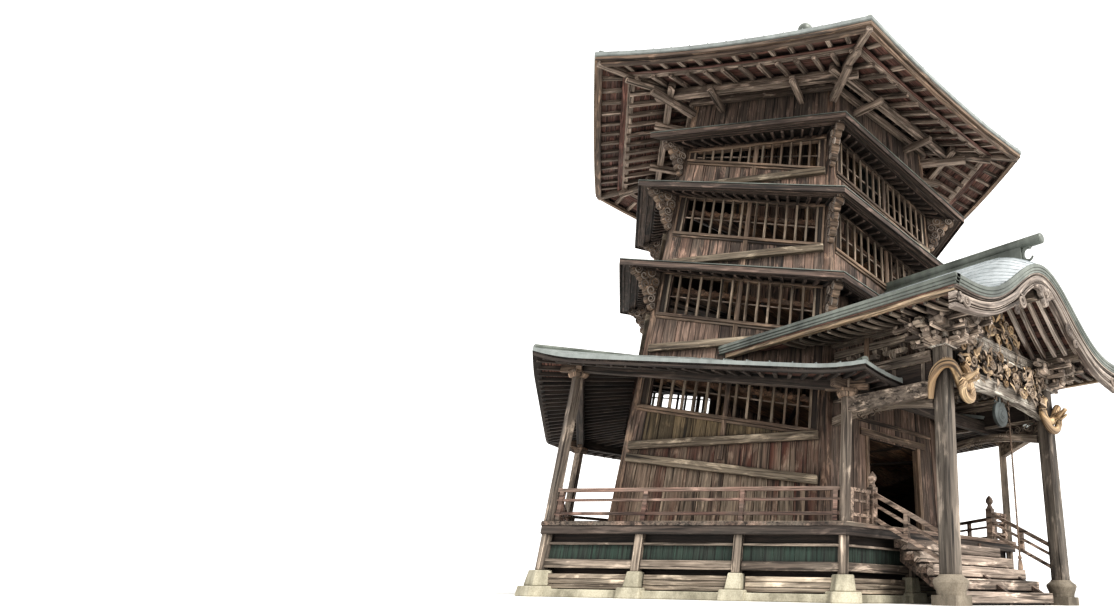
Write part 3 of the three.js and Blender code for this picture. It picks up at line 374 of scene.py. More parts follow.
def make_stage():
    mesh = bpy.data.meshes.new("floor")
    corners = [(x * FLOOR_HALF, y * FLOOR_HALF, 0) for x, y in ((-1, -1), (1, -1), (1, 1), (-1, 1))]
    mesh.from_pydata(corners, [], [(0, 1, 2, 3)])
    floor = bpy.data.objects.new("floor", mesh)
    bpy.context.scene.collection.objects.link(floor)
    look = Look("floor_paint", 0.9)
    look.shader.inputs["Base Color"].default_value = (0.8, 0.79, 0.77, 1)
    mesh.materials.append(look.material)
    world = bpy.data.worlds.new("sky")
    world.use_nodes = True
    sky = world.node_tree.nodes["Background"]
    sky.inputs["Color"].default_value = (1.0, 0.995, 0.985, 1)
    sky.inputs["Strength"].default_value = SKY_STRENGTH
    bpy.context.scene.world = world
    bpy.context.scene.view_settings.view_transform = "Standard"
    bpy.context.scene.view_settings.look = "Medium High Contrast"
    for name, (energy, spread, turn) in LIGHTS.items():
        light = bpy.data.lights.new(name, "SUN")
        light.energy = energy
        light.angle = math.radians(spread)
        light.color = LIGHT_COLOUR
        lamp = bpy.data.objects.new(name, light)
        lamp.rotation_euler = [math.radians(angle) for angle in turn]
        bpy.context.scene.collection.objects.link(lamp)


make_stage()


# Places in the building

def polar(radius, degrees, z=0.0):
    turn = math.radians(degrees)
    return Vector((radius * math.cos(turn), radius * math.sin(turn), z))


def mix(a, b, part):
    return a + (b - a) * part


def shaft(z):
    """Corner radius of the tower"""
    return 4.08 - 0.055 * (z - DECK)


def corner_angle(index):
    return CORNERS[index % 6]


def face_point(face, s, z, out=0.0):
    """s runs from the middle of a tower face to its higher end, out is away from the tower"""
    grown = shaft(z) + out / FACE_COS
    start = polar(grown, corner_angle(face), z)
    end = polar(grown, corner_angle(face + 1), z)
    return start.lerp(end, 0.5 + s / grown)


def reach(z):
    """Half the width of a face between its corner posts"""
    return shaft(z) / 2 - 0.13


def floor_at(step):
    return RAMP_START + RISE * step


def eave_at(step):
    return floor_at(min(step, RAMP_END - 1)) + EAVE_ABOVE_FLOOR


RAMPS = (("up", 0), ("down", 3))
WINDOW_HEIGHT = 0.95
LATTICE_BARS = 7
MID_POST = 0.8


class Window:
    """The lattice window over one stretch of a ramp"""

    def __init__(self, face, step):
        self.face, self.step = face, step
        self.half = shaft(floor_at(step) + 2) / 2 - 0.33
        self.sills = (floor_at(step) + 1.38, floor_at(step + 1) + 1.26)
        self.level = eave_at(step) - 0.06 if step == RAMP_END - 1 else None

    def sill(self, s):
        return mix(*self.sills, (s / self.half + 1) / 2)

    def head(self, s):
        return self.level if self.level else self.sill(s) + WINDOW_HEIGHT


def windows_of(face):
    found = []
    for _, first in RAMPS:
        for step in range(RAMP_END):
            hidden = step == 1 or (SIDES[face] == "front" and step == 2)
            if (step + first) % 6 == face and not hidden:
                found.append(Window(face, step))
    return sorted(found, key=lambda window: window.sills[0])


def eaves_of(face):
    """(height at the low end, height at the high end) of each climbing eave on a face"""
    return sorted((eave_at(step), eave_at(step + 1)) for _, first in RAMPS
                  for step in range(2, RAMP_END) if (step + first) % 6 == face)


# Timbers

def oblong(a0, a1, b0, b1):
    """Corners of a section, in order"""
    return (a0, b0), (a1, b0), (a1, b1), (a0, b1)


def full_turn(count):
    """Even turns round a circle"""
    return [2 * math.pi * k / count for k in range(count)]


def evenly(start, end, count):
    """Places from start to end, with count gaps"""
    return [mix(start, end, i / count) for i in range(count + 1)]


def circle(centre, first, second, count):
    """Points round a centre, from the arm first towards the arm second"""
    return [centre + first * math.cos(turn) + second * math.sin(turn) for turn in full_turn(count)]


def steps(start, stop, step):
    """Numbers from start up to stop, a step apart"""
    while start < stop:
        yield start
        start += step


GRAIN_SHIFT = 60
SHARP_ANGLE = math.radians(40)


class Pile:
    """Timbers gathered into one mesh, each with its grain along its length"""

    def __init__(self):
        self.points, self.faces, self.grain = [], [], []

    def sweep(self, rings, closed=False):
        """A body through a row of like rings"""
        first, count = len(self.points), len(rings[0])
        shift = Vector((random.uniform(0, GRAIN_SHIFT), random.uniform(0, GRAIN_SHIFT)))
        middles = [sum(ring, Vector()) / count for ring in rings]
        lengths, around = [0.0], [0.0]
        for a, b in zip(middles, middles[1:] + middles[:1]):
            lengths.append(lengths[-1] + (b - a).length)
        for i in range(count):
            around.append(around[-1] + (rings[0][(i + 1) % count] - rings[0][i]).length)
        self.points += [point for ring in rings for point in ring]
        for row in range(len(rings) if closed else len(rings) - 1):
            here, there = first + row * count, first + (row + 1) % len(rings) * count
            for i in range(count):
                j = (i + 1) % count
                self.faces.append((here + i, here + j, there + j, there + i))
                u0, u1, v0, v1 = lengths[row], lengths[row + 1], around[i], around[i + 1]
                self.grain += [shift + Vector(place) for place in ((u0, v0), (u0, v1), (u1, v1), (u1, v0))]
        if not closed:
            for start in (first, len(self.points) - count):
                self.faces.append(range(start, start + count))
                self.grain += [shift + Vector((around[i] * 0.1, around[i])) for i in range(count)]

    def bar(self, a, b, width, height, up=Z):
        """A straight timber between two points"""
        a, b = Vector(a), Vector(b)
        axis = (b - a).normalized()
        side = axis.cross(up).normalized()
        top = side.cross(axis)
        self.sweep([[end + side * (width * x) + top * (height * y) for x, y in oblong(-0.5, 0.5, -0.5, 0.5)]
                    for end in (a, b)])

    def post(self, x, y, degrees, width, bottom, top, top_width=None):
        """A square upright timber, turned by degrees"""
        ends = ((width, bottom), (top_width or width, top))
        self.sweep([[Vector((x, y, 0)) + polar(size * math.sqrt(0.5), degrees + turn, z)
                     for turn in (45, 135, 225, 315)] for size, z in ends])

    def block(self, low, high):
        """A timber between two corners, with its grain along its longest side"""
        size = Vector(high) - Vector(low)
        axis = 2 if size.z >= max(size.x, size.y) else 0 if size.x >= size.y else 1
        a, b = (other for other in range(3) if other != axis)
        rings = []
        for end in (low[axis], high[axis]):
            ring = [Vector() for _ in range(4)]
            for point, (first, second) in zip(ring, oblong(low[a], high[a], low[b], high[b])):
                point[axis], point[a], point[b] = end, first, second
            rings.append(ring)
        self.sweep(rings)

    def build(self, name, look, bevel=0.004, smooth=False, slot=None, stands_for=()):
        mesh = bpy.data.meshes.new(name)
        mesh.from_pydata([tuple(point) for point in self.points], [], self.faces)
        layer = mesh.uv_layers.new(name="grain")
        layer.data.foreach_set("uv", [value for place in self.grain for value in place])
        work = bmesh.new()
        work.from_mesh(mesh)
        bmesh.ops.recalc_face_normals(work, faces=work.faces)
        work.to_mesh(mesh)
        work.free()
        mesh.materials.append(looks[look])
        piece = bpy.data.objects.new(name, mesh)
        bpy.context.scene.collection.objects.link(piece)
        if bevel:
            edge = piece.modifiers.new("worn_edges", "BEVEL")
            edge.width = bevel
            edge.segments = 1
            edge.limit_method = "ANGLE"
            edge.angle_limit = SHARP_ANGLE
        if smooth:
            mesh.shade_smooth()
            mesh.set_sharp_from_angle(angle=SHARP_ANGLE)
        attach(piece, "root")
        if stands_for:
            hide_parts(*stands_for)
        return piece


# Walls

JAMB = 0.882
DOOR_HALF = 0.8
DOOR_TOP = 2.9
DOOR_SHARE = DOOR_HALF / reach(2.0)
DOOR_SIDES = ("front", "back")
SKIRT_WALL = (3.8, 4.4, 3.8, 3.8, 4.4, 3.8)
SKIRT_EDGE = (3.45, 3.95, 3.45, 3.45, 3.95, 3.45)
PORCH_ROOT = 5.0
ROOT_DEPTH = 0.13
EDGE_DEPTH = 0.09
PLANK_WIDTHS = (0.11, 0.2)
PLANK_INSET = 0.005
PLANK_BACK = -0.012
PLANK_ZONES = ((2.9, "low_planks_"), (3.9, "mid_planks_"), (7.2, "first_planks_"), (math.inf, "planks_"))
PLANK_LOOKS = {"planks_": "wall", "low_planks_": "wall_low", "mid_planks_": "wall_mid",
               "first_planks_": "wall_first", "upper_planks_": "upper"}


def line(low_end, high_end):
    """A height that runs evenly across a face"""
    return lambda t: mix(low_end, high_end, (t + 1) / 2)


def band(low_end, high_end, below, above):
    """A gap from below to above a sloping line"""
    return line(low_end + below, high_end + below), line(low_end + above, high_end + above)


def plank_columns(has_door):
    """Edges of the plank columns, from -1 to 1 across a face"""
    edges = [-1.0, -JAMB]
    for stop in ([-DOOR_SHARE, DOOR_SHARE] if has_door else []) + [JAMB]:
        while edges[-1] < stop - 0.22:
            edges.append(edges[-1] + random.uniform(*PLANK_WIDTHS))
        edges.append(stop)
    return edges + [1.0]


def wall_gaps(face, middle):
    """Height ranges of one plank column that hold no plank"""
    gaps = [band(*ends, 0.1, 0.27) for ends in eaves_of(face)]
    skirt = (SKIRT_WALL[face], SKIRT_WALL[(face + 1) % 6])
    roots = (PORCH_ROOT, PORCH_ROOT) if SIDES[face] == "front" else skirt
    gaps.append(band(*roots, -0.14, 0))
    for window in windows_of(face):
        if abs(middle) < JAMB:
            (low, high), half = window.sills, window.half / reach(window.sills[0])
            slope, centre = (high - low) / 2 / half, (low + high) / 2
            sill, head = band(centre - slope, centre + slope, 0, WINDOW_HEIGHT)
            gaps.append((sill, line(window.level, window.level) if window.level else head))
    if SIDES[face] in DOOR_SIDES and abs(middle) < DOOR_SHARE:
        gaps.append((line(0, 0), line(DOOR_TOP, DOOR_TOP)))
    gaps += [band(*ends, -0.002, 0.002) for ends in brace_lines(face)[:2]]
    return sorted(gaps, key=lambda gap: gap[0](middle))


def brace_lines(face):
    """(low end, high end) heights of the braces; on the ground storey the ramp's beam is the second"""
    lines = []
    for window in windows_of(face):
        low, high = window.sills
        lines.append((low - 0.12, high - 0.78))
        if window.step == 0:
            lines.append((low - 0.92, high - 1.0))
    return lines


def plank_spans(face, middle):
    """The planks of one column, each as its bottom and top edge"""
    bottom = line(DECK + 0.005, DECK + 0.005)
    spans = []
    for low, high in wall_gaps(face, middle):
        if low(middle) > bottom(middle) + 0.03:
            spans.append((bottom, low))
        if high(middle) > bottom(middle):
            bottom = high
    return spans + [(bottom, line(WALL_TOP, WALL_TOP))]


def make_walls():
    for face, side in enumerate(SIDES):
        piles = {name: Pile() for name in PLANK_LOOKS}
        edges = plank_columns(side in DOOR_SIDES)
        for t0, t1 in zip(edges, edges[1:]):
            middle = (t0 + t1) / 2
            proud = random.uniform(0.002, 0.02)
            spans = plank_spans(face, middle)
            for number, (low, high) in enumerate(spans):
                name = next(name for top, name in PLANK_ZONES if high(middle) < top)
                if 0 < number == len(spans) - 1:
                    name = "upper_planks_"
                rings = []
                for edge in (low, high):
                    ends = (t0 * reach(edge(t0)) + PLANK_INSET, t1 * reach(edge(t1)) - PLANK_INSET)
                    rings.append([face_point(face, ends[i], edge((t0, t1)[i]), out)
                                  for i, out in oblong(0, 1, PLANK_BACK, proud)])
                piles[name].sweep(rings)
        for name, look in PLANK_LOOKS.items():
            if piles[name].points:
                piles[name].build(name + side, look, 0.002, slot="wall_wood")


def slanted(pile, face, s0, s1, height, width, out0, out1):
    """A timber on a wall face whose middle follows height(s)"""
    pile.sweep([[face_point(face, s, height(s) + up, out)
                 for out, up in oblong(out0, out1, -width / 2, width / 2)]
                for s in (s0, s1)])


def upright(pile, face, s, width, low, high, out0, out1):
    """A vertical timber on a wall face whose ends follow low(s) and high(s)"""
    pile.sweep([[face_point(face, s + a, edge(s + a), out)
                 for a, out in oblong(-width / 2, width / 2, out0, out1)]
                for edge in (low, high)])


BAR_WIDTH = 0.05
JAMB_WIDTH = 0.05
RAIL_SHARE = 0.45
BRACE_WIDTH = 0.16


def make_windows():
    """Lattices with their rails and posts, and the braces under them"""
    for face, side in enumerate(SIDES):
        bars, frames, shade_sheets, braces, rails = (Pile() for _ in range(5))
        for window in windows_of(face):
            half, sill, head = window.half, window.sill, window.head
            end = reach(sill(0)) - 0.002
            timbers = ((sill, -0.02, 0.07, -0.105, 0.08), (sill, -0.085, 0.05, 0.0, 0.05),
                       (head, 0.02, 0.08, -0.1, 0.06))
            for edge, up, width, out0, out1 in timbers:
                slanted(frames, face, -end, end, lambda s: edge(s) + up, width, out0, out1)
            for s in (JAMB_WIDTH / 2 - end, end - JAMB_WIDTH / 2):
                upright(frames, face, s, JAMB_WIDTH, sill, head, 0.0, 0.05)
            upright(frames, face, 0, 0.1, lambda s: sill(s) - MID_POST, head, -0.005, 0.052)
            for turn in (-1, 1):
                # Dark strips behind the bars at the window's ends: painted shade for the dark inside
                upright(shade_sheets, face, turn * (half + end) / 2, end - half, sill, head, -0.01, 0.024)
                for i in range(LATTICE_BARS):
                    s = turn * (0.05 + (end - 0.1) * (i + 0.5) / LATTICE_BARS)
                    upright(bars, face, s, BAR_WIDTH, sill, head, 0.0, 0.042 + random.uniform(-0.004, 0.004))
            slanted(rails, face, -end, end, lambda s: mix(sill(s), head(s), RAIL_SHARE),
                    0.028, -0.035, -0.006)
        for low, high in brace_lines(face):
            slanted(braces, face, -reach(low), reach(high),
                    lambda s: mix(low, high, (s / reach(low) + 1) / 2), BRACE_WIDTH, -0.01, 0.12)
        bars.build("lattice_" + side, "bars", 0.003, slot="wall_wood")
        shade_sheets.build("lattice_backing_" + side, "dark", 0, slot="dark_wood")
        rails.build("lattice_rails_" + side, "old_rafter", 0, slot="wall_wood")
        braces.build("braces_" + side, "brace", 0.01, slot="wall_wood")
        frames.build("wall_frame_" + side, "brown", 0.006, slot="grey_wood")


# Climbing eaves

FRONT_EAVE_START = 2.74
EAVE_RAFTERS = 17
PORCH_CLEARANCE = 0.12
# Places along a rafter, with how far the section reaches down there
RAFTER_ENDS = ((0, 1.0), (0.8, 1.0), (0.94, 0.75), (1, 0.1))


def eave_corner(corner, height, q, top):
    """A point of an eave's section over a corner: q is 0 at the wall and 1 at the edge"""
    root = height + EAVE_FALL - (0 if top else ROOT_DEPTH)
    inner = polar(shaft(root) + POST_OUT / FACE_COS, corner, root)
    return inner.lerp(polar(shaft(height) + EAVE_REACH, corner, height - (0 if top else EDGE_DEPTH)), q)


def eave_point(first, step, q, top=False, lift=0.0):
    base = math.floor(step + 1e-9)
    start, end = (eave_corner(corner_angle(at + first), eave_at(at), q, top) for at in (base, base + 1))
    return start.lerp(end, step - base) + Z * lift


def strip(q0, q1, low, high=0.0, top=False):
    """Section of a board on an eave, as (share of the way out, on the top side, height over it)"""
    return [(q, top, lift) for q, lift in oblong(q0, q1, low, high)]


EAVE_FASCIA = ((1.0, False, -0.035), (1.035, False, -0.035), (1.035, True, -0.01), (1.0, True, -0.01))
EAVE_EDGES = (EAVE_FASCIA, strip(0.9, 0.955, -0.03), strip(0.56, 0.6, -0.04), strip(0.73, 0.77, -0.04))
EAVE_SHEET = ((0.0, True, 0.003), (1.05, True, 0.003), (1.05, True, 0.024), (0.0, True, 0.02))
EAVE_SOFFIT = strip(0.5, 0.9, -0.018)


def eave_spans():
    """(ramp's first face, from step, to step) for each face's length of eave"""
    for _, first in RAMPS:
        for step in range(2, RAMP_END):
            yield first, FRONT_EAVE_START if first == 3 and step == 2 else step, step + 1


def clear_of_porch(point):
    """True where a point isn't in or under the porch roof"""
    under = porch_height(point.x, point.y) + PORCH_CLEARANCE
    return not (point.y < -3.0 and abs(point.x) < 3.15 and point.z < under)


def make_eaves():
    edges, rafters, sheets, soffits = (Pile() for _ in range(4))
    for first, start, end in eave_spans():
        kept = [s for s in evenly(start, end, 12) if clear_of_porch(eave_point(first, s, 1.0))]
        if len(kept) > 1:
            parts = [(edges, section) for section in EAVE_EDGES]
            for pile, section in (*parts, (sheets, EAVE_SHEET), (soffits, EAVE_SOFFIT)):
                pile.sweep([[eave_point(first, s, *place) for place in section] for s in (kept[0], kept[-1])])
        count = round(EAVE_RAFTERS * (end - start))
        for i in range(count):
            step = mix(start, end, (i + 0.5) / count)
            root, tip = (eave_point(first, step, q, False, -0.04) for q in (0.02, 0.52))
            if clear_of_porch(tip):
                side = (tip - root).cross(Z).normalized() * 0.034
                rafters.sweep([[root.lerp(tip, part) + side * a + Z * (0.04 * b)
                                for a, b in oblong(-1, 1, -drop, 1)] for part, drop in RAFTER_ENDS])
    edges.build("eave_fascia", "eave", 0.005, slot="grey_wood")
    rafters.build("eave_rafters", "eave", 0.004, slot="grey_wood")
    sheets.build("eave_sheets", "metal_edge", 0.003, slot="roof_metal")
    soffits.build("eave_soffits", "upper", 0.003, slot="grey_wood")


# Carved nose brackets at the tower's corners

# Lobes as (out from the post, height, radius), in shares of the bracket's size
NOSE_LOBES = ((0.05, -0.93, 0.1), (0.15, -0.76, 0.13), (0.2, -0.55, 0.15), (0.36, -0.42, 0.14),
              (0.46, -0.22, 0.16), (0.66, -0.13, 0.13), (0.77, -0.02, 0.08), (0.12, -0.3, 0.17),
              (0.3, -0.1, 0.17), (0.55, 0.0, 0.1))
NOSE_CORE = ((0, -1.0), (0.08, -0.98), (0.62, -0.12), (0.74, 0.04), (0, 0.12))
# Section across a lobe, as (share of its half width, share of its radius)
LOBE_SECTION = ((-1, 0.8), (-0.7, 1.0), (0.7, 1.0), (1, 0.8))


def nose_points(corner, height, size):
    """Gives the point x out from a corner post, z up and across to the side"""
    def at(x, z, across):
        low = height + z * size
        return polar(shaft(low) + 0.012 + max(0.0, x) * size, corner, low) + polar(across, corner + 90)
    return at


def make_noses():
    core, lobes, curls = Pile(), Pile(), Pile()
    for _, first in RAMPS:
        for step in range(3 if first == 3 else 2, RAMP_END + 1):
            at = nose_points(corner_angle(step + first), eave_at(step), 0.86 if step < RAMP_END else 0.7)
            core.sweep([[at(x, z, across) for x, z in NOSE_CORE] for across in (-0.03, 0.03)])
            for number, (x, z, radius) in enumerate(NOSE_LOBES):
                wide = 0.055 + 0.018 * (number % 3)
                lobes.sweep([[at(x + radius * grow * math.cos(turn), z + radius * grow * math.sin(turn),
                                 wide * part) for turn in full_turn(14)] for part, grow in LOBE_SECTION])
                for face in (-1, 1):
                    spiral(curls, lambda a, b, lift: at(x + a, z + b, face * (wide * 0.9 + lift)),
                           radius * 0.86, 0.024, 1.5, 6, 16, number * 1.7)
    core.build("nose_cores", "old_rafter", 0.004, slot="grey_wood")
    lobes.build("nose_brackets", "brown", 0.004, slot="grey_wood")
    curls.build("nose_curls", "gable", 0, smooth=True, slot="grey_wood")


def spiral(pile, at, radius, thick, turns=1.6, sides=6, count=16, start=0.0):
    """A raised curl that winds inwards; at(a, b, lift) gives a point of the carved face"""
    rings = []
    for part in evenly(0, 1, count - 1):
        turn = start + 2 * math.pi * turns * part
        far = radius * (1 - 0.78 * part)
        width = thick * (0.55 + 0.45 * math.sin(math.pi * (0.15 + 0.8 * part)))
        ring = []
        for angle in full_turn(sides):
            r = far + width * math.cos(angle)
            ring.append(at(r * math.cos(turn), r * math.sin(turn), width * math.sin(angle)))
        rings.append(ring)
    pile.sweep(rings)


# Porch roof's surface

PORCH_HALF = 3.1
PORCH_FRONT = -7.1
PORCH_EAVE = 4.56
PORCH_RIDGE = 6.18
FRONT_APEX = 5.8
FRONT_RISE_RUN = 0.9
BELL_SHARPNESS = 1.75
INFLECTION = 1.3


def porch_height(x, y, drop=0.0):
    part = min(max((y - PORCH_FRONT) / FRONT_RISE_RUN, 0), 1)
    apex = mix(FRONT_APEX, PORCH_RIDGE, math.sin(part * math.pi / 2))
    swell = max(0.0, (1 + math.cos(math.pi * x / PORCH_HALF)) / 2)
    return PORCH_EAVE + (apex - PORCH_EAVE) * swell ** BELL_SHARPNESS - drop


# Main roof

# (radius, height) at the corners, down over the sheets and back up under them
ROOF_OUTER = ((0.02, 14.75), (0.42, 14.66), (0.9, 14.1), (1.7, 13.33), (2.7, 12.56), (3.8, 11.88),
              (5.0, 11.34), (6.235, 10.92))
ROOF_UNDER = ((6.235, 10.83), (6.2, 10.815), (5.9, 10.815), (3.6, 11.505), (3.3, 11.56), (1.7, 12.86),
              (0.5, 14.0), (0.02, 14.2))
RING_STEP = 0.3
HIP_END = 6.15
SEAM_STEP = 0.42
RAFTER_STEP = 0.42
BOARD_STEP = 0.205
BOARD_WIDTH = 0.2
EAVE_SAG = 0.2
SAG_RADIUS = 5.4
SIDE_PARTS = 8
INNER_RAFTER = ((3.13, 11.44), (4.62, 10.86))
LEVEL_UNDERSIDE = (5.9, 10.81)
SLOPE_TOP = (3.592, 11.5)
HIP_SLOPE = math.tan(math.radians(30))
RIB_SECTION = ((-0.012, 0), (0.012, 0), (0.008, 0.03), (-0.008, 0.03))
FINIAL_NECK = ((0.3, 14.66), (0.31, 14.76), (0.2, 14.86), (0.17, 15.2), (0.24, 15.3), (0.25, 15.4),
               (0.16, 15.5), (0.12, 15.72), (0.17, 15.84), (0.16, 15.92), (0.1, 15.98))
JEWEL_RADIUS = 0.25
JEWEL_HEIGHT = 16.22
FINIAL_TOP = 16.5


def out_from(face, s, d, z):
    """A point d out from the axis over a face's middle, and s towards the face's higher end"""
    middle = corner_angle(face) - 30
    return polar(d, middle, z) + polar(s, middle - 90)


def hip(d):
    """Half the width of a face d out from the axis"""
    return d * HIP_SLOPE


def roof_underside(d):
    (r0, z0), (r1, z1) = SLOPE_TOP, LEVEL_UNDERSIDE
    return mix(z0, z1, min((d / FACE_COS - r0) / (r1 - r0), 1))


def inner_rafter_top(d):
    (d0, z0), (d1, z1) = INNER_RAFTER
    return mix(z0, z1, (d - d0) / (d1 - d0))


def level_at(value):
    return lambda _: value


def face_board(pile, face, d0, d1, height, thick):
    """A board along a face's whole width, mitred at the hips"""
    pile.sweep([[out_from(face, (2 * k / SIDE_PARTS - 1) * hip(d), d, height(d) + lift)
                 for d, lift in oblong(d0, d1, 0, thick)] for k in range(SIDE_PARTS + 1)])


def roof_ring(radius, z):
    """A level ring of the roof, with points along each side"""
    corners = [polar(radius, corner, z) for corner in CORNERS]
    return [corners[i].lerp(corners[(i + 1) % 6], k / SIDE_PARTS) for i in range(6)
            for k in range(SIDE_PARTS)]


def finer(profile, parts=None):
    """The profile with each stretch cut into parts, or into parts of a ring's step at most"""
    kept = []
    for (r0, z0), (r1, z1) in zip(profile, profile[1:]):
        count = parts or max(1, math.ceil(abs(r1 - r0) / RING_STEP))
        kept += [(mix(r0, r1, k / count), mix(z0, z1, k / count)) for k in range(count)]
    return kept + [profile[-1]]


def sag(*piles):
    """Lowers the eaves between the corners, which turn up a little"""
    for point in [point for pile in piles for point in pile.points]:
        turn = math.radians((math.degrees(math.atan2(point.y, point.x)) - CORNERS[0]) % 60 - 30)
        d = math.hypot(point.x, point.y) * math.cos(turn)
        point.z -= EAVE_SAG * (d / SAG_RADIUS) ** 5 * (1 - (math.tan(turn) / HIP_SLOPE) ** 2)


def make_main_roof():
    shell, seams, caps = Pile(), Pile(), Pile()
    shell.sweep([roof_ring(radius, z) for radius, z in finer(ROOF_OUTER + ROOF_UNDER)])
    slope = [(radius * FACE_COS, z) for radius, z in finer(ROOF_OUTER, 3)]
    slope[-1] = (slope[-1][0] - 0.01, slope[-1][1] + 0.004)
    ridge = ROOF_OUTER[1:-1] + ((HIP_END, ROOF_OUTER[-1][1] + 0.012),)
    for face in range(6):
        for s in steps(-2.9, 2.95, SEAM_STEP):
            kept = [(d, z) for d, z in slope if hip(d) > abs(s) + 0.03]
            if len(kept) > 1:
                seams.sweep([[out_from(face, s + a, d, z + lift) for a, lift in RIB_SECTION]
                             for d, z in kept])
        corner, rings = corner_angle(face), []
        for radius, z in ridge:
            size = 0.3 if radius < 0.5 else 1.0
            rings.append(circle(polar(radius, corner, z + size * 0.03), polar(size * 0.075, corner + 90),
                                Z * (size * 0.06), 8))
        caps.sweep(rings)
    sag(shell, seams, caps)
    shell.build("roof_sheets", "metal", 0, slot="roof_metal", stands_for=("main_roof",))
    seams.build("roof_seams", "metal", 0, slot="roof_metal")
    caps.build("roof_hips", "metal_edge", 0, smooth=True, slot="roof_metal")


def make_finial():
    """The jewel on its neck, over the roof's top"""
    turns = [math.pi * (0.14 + 0.84 * k / 12) for k in range(1, 12)]
    ball = [(JEWEL_RADIUS * math.sin(turn), JEWEL_HEIGHT - JEWEL_RADIUS * math.cos(turn)) for turn in turns]
    jewel = Pile()
    profile = (*FINIAL_NECK, *ball, (0.006, FINIAL_TOP))
    jewel.sweep([circle(Z * z, X * radius, Y * radius, 24) for radius, z in profile])
    jewel.build("finial_jewel", "metal_edge", 0, smooth=True, slot="roof_metal", stands_for=("finial",))


# Rafters of the main roof: inner end, outer end, how far the outer end may start, drops of the ends, size
RAFTER_ROWS = ((3.16, 4.6, 4.5, inner_rafter_top, 0.055, 0.115),
               (4.42, 5.28, 5.2, roof_underside, 0.05, 0.105))
# Beams at a corner: (radius, height) of each end, width and height
CORNER_BEAMS = (((3.45, 10.82), (4.75, 10.82), 0.16, 0.2), ((3.6, 11.28), (5.42, 10.74), 0.15, 0.2),
                ((5.15, 10.9), (6.12, 10.7), 0.14, 0.16))
RING_BEAM = 3.68


def make_roof_underside():
    rafters, boards, beams, edge = (Pile() for _ in range(4))
    for face in range(6):
        for s in steps(-2.94, 2.951, RAFTER_STEP):
            for inner, outer, last, top, drop, height in RAFTER_ROWS:
                start = max(inner, abs(s) / HIP_SLOPE + 0.12)
                if start < last:
                    rafters.bar(out_from(face, s, start, top(start) - 0.055),
                                out_from(face, s, outer, top(outer) - drop), 0.095, height)
        for d in steps(3.14, 4.6, BOARD_STEP):
            face_board(boards, face, d, d + BOARD_WIDTH, inner_rafter_top, 0.018)
        for d in steps(4.5, 5.3, BOARD_STEP):
            face_board(boards, face, d, min(d + BOARD_WIDTH, 5.38), lambda at: roof_underside(at) - 0.004,
                       0.012)
        # Purlin that carries the outer rafters, the eave's edge boards and the ring beam
        face_board(beams, face, 4.5, 4.66, level_at(inner_rafter_top(4.62) - 0.02), 0.14)
        face_board(edge, face, 5.2, 5.3, level_at(10.64), 0.09)
        face_board(edge, face, 5.27, 5.37, level_at(10.72), 0.09)
        ring_z = inner_rafter_top(RING_BEAM) - 0.235
        beams.bar(out_from(face, -2.5, RING_BEAM, ring_z), out_from(face, 2.5, RING_BEAM, ring_z), 0.17, 0.24)
        corner = corner_angle(face)
        for (r0, z0), (r1, z1), width, height in CORNER_BEAMS:
            beams.bar(polar(r0, corner, z0), polar(r1, corner, z1), width, height)
        for s in (-1.0, 1.0):
            beams.bar(out_from(face, s, 3.0, 10.84), out_from(face, s, 3.95, 10.84), 0.13, 0.17)
        # Frieze under the roof
        face_board(beams, face, 3.08, 3.2, level_at(11.05), 0.2)
    sag(rafters, boards, beams, edge)
    rafters.build("roof_rafters", "old_rafter", 0.006, slot="dark_wood")
    boards.build("roof_boards", "red_board", 0, slot="dark_wood")
    beams.build("roof_beams", "old_rafter", 0.01, slot="dark_wood")
    edge.build("roof_edge_boards", "brown", 0.006, slot="dark_wood")


# Skirt roof

LIFT_RUN = 0.16
CORNER_LIFT = 0.11
CUSHION = 0.06
SKIRT_STOPS = 24
SKIRT_RIBS = 15
SKIRT_RAFTERS = 22
SKIRT_BOARDS = 8
# Sections as (share of the way out, height over the surface)
SKIRT_FASCIA = ((1.006, -0.05), (1.011, -0.05), (1.011, 0.02), (1.006, 0.02))
SKIRT_EDGE_BOARD = ((0.93, -0.05), (1.0, -0.05), (1.0, 0.03), (0.93, 0.01))
SKIRT_SEAM = ((-0.01, 0), (0.01, 0), (0.007, 0.03), (-0.007, 0.03))


def skirt_point(side, part, q, top=True, lift=0.0):
    rise = CORNER_LIFT * max(0, 1 - min(part, 1 - part) / LIFT_RUN) ** 2
    ends = []
    for index in (side, side + 1):
        corner = corner_angle(index)
        root = SKIRT_WALL[index % 6] - (0 if top else ROOT_DEPTH)
        edge = SKIRT_EDGE[index % 6] + rise - (0 if top else EDGE_DEPTH)
        inner = polar(shaft(root) + POST_OUT / FACE_COS, corner, root)
        ends.append(inner.lerp(polar(SKIRT, corner, edge), q))
    return ends[0].lerp(ends[1], part) + Z * lift


def skirt_top(side, part, q, lift=0.0):
    """The skirt roof's sheet, which is slightly cushioned"""
    swell = CUSHION * math.sin(math.pi * part) * math.sin(math.pi * min(q, 1))
    return skirt_point(side, part, q, True, lift + swell)


def under_skirt(index):
    """Height of the skirt roof's underside over a veranda post"""
    inner = shaft(SKIRT_WALL[index])
    out = (VERANDA - inner) / (SKIRT - inner)
    return mix(SKIRT_WALL[index] - ROOT_DEPTH, SKIRT_EDGE[index] - EDGE_DEPTH, out)


def skirt_stretches():
    for side, name in enumerate(SIDES):
        if name == "front":
            yield side, 0.0, LIFT_RUN
            yield side, 1 - LIFT_RUN, 1.0
        else:
            yield side, 0.0, 1.0


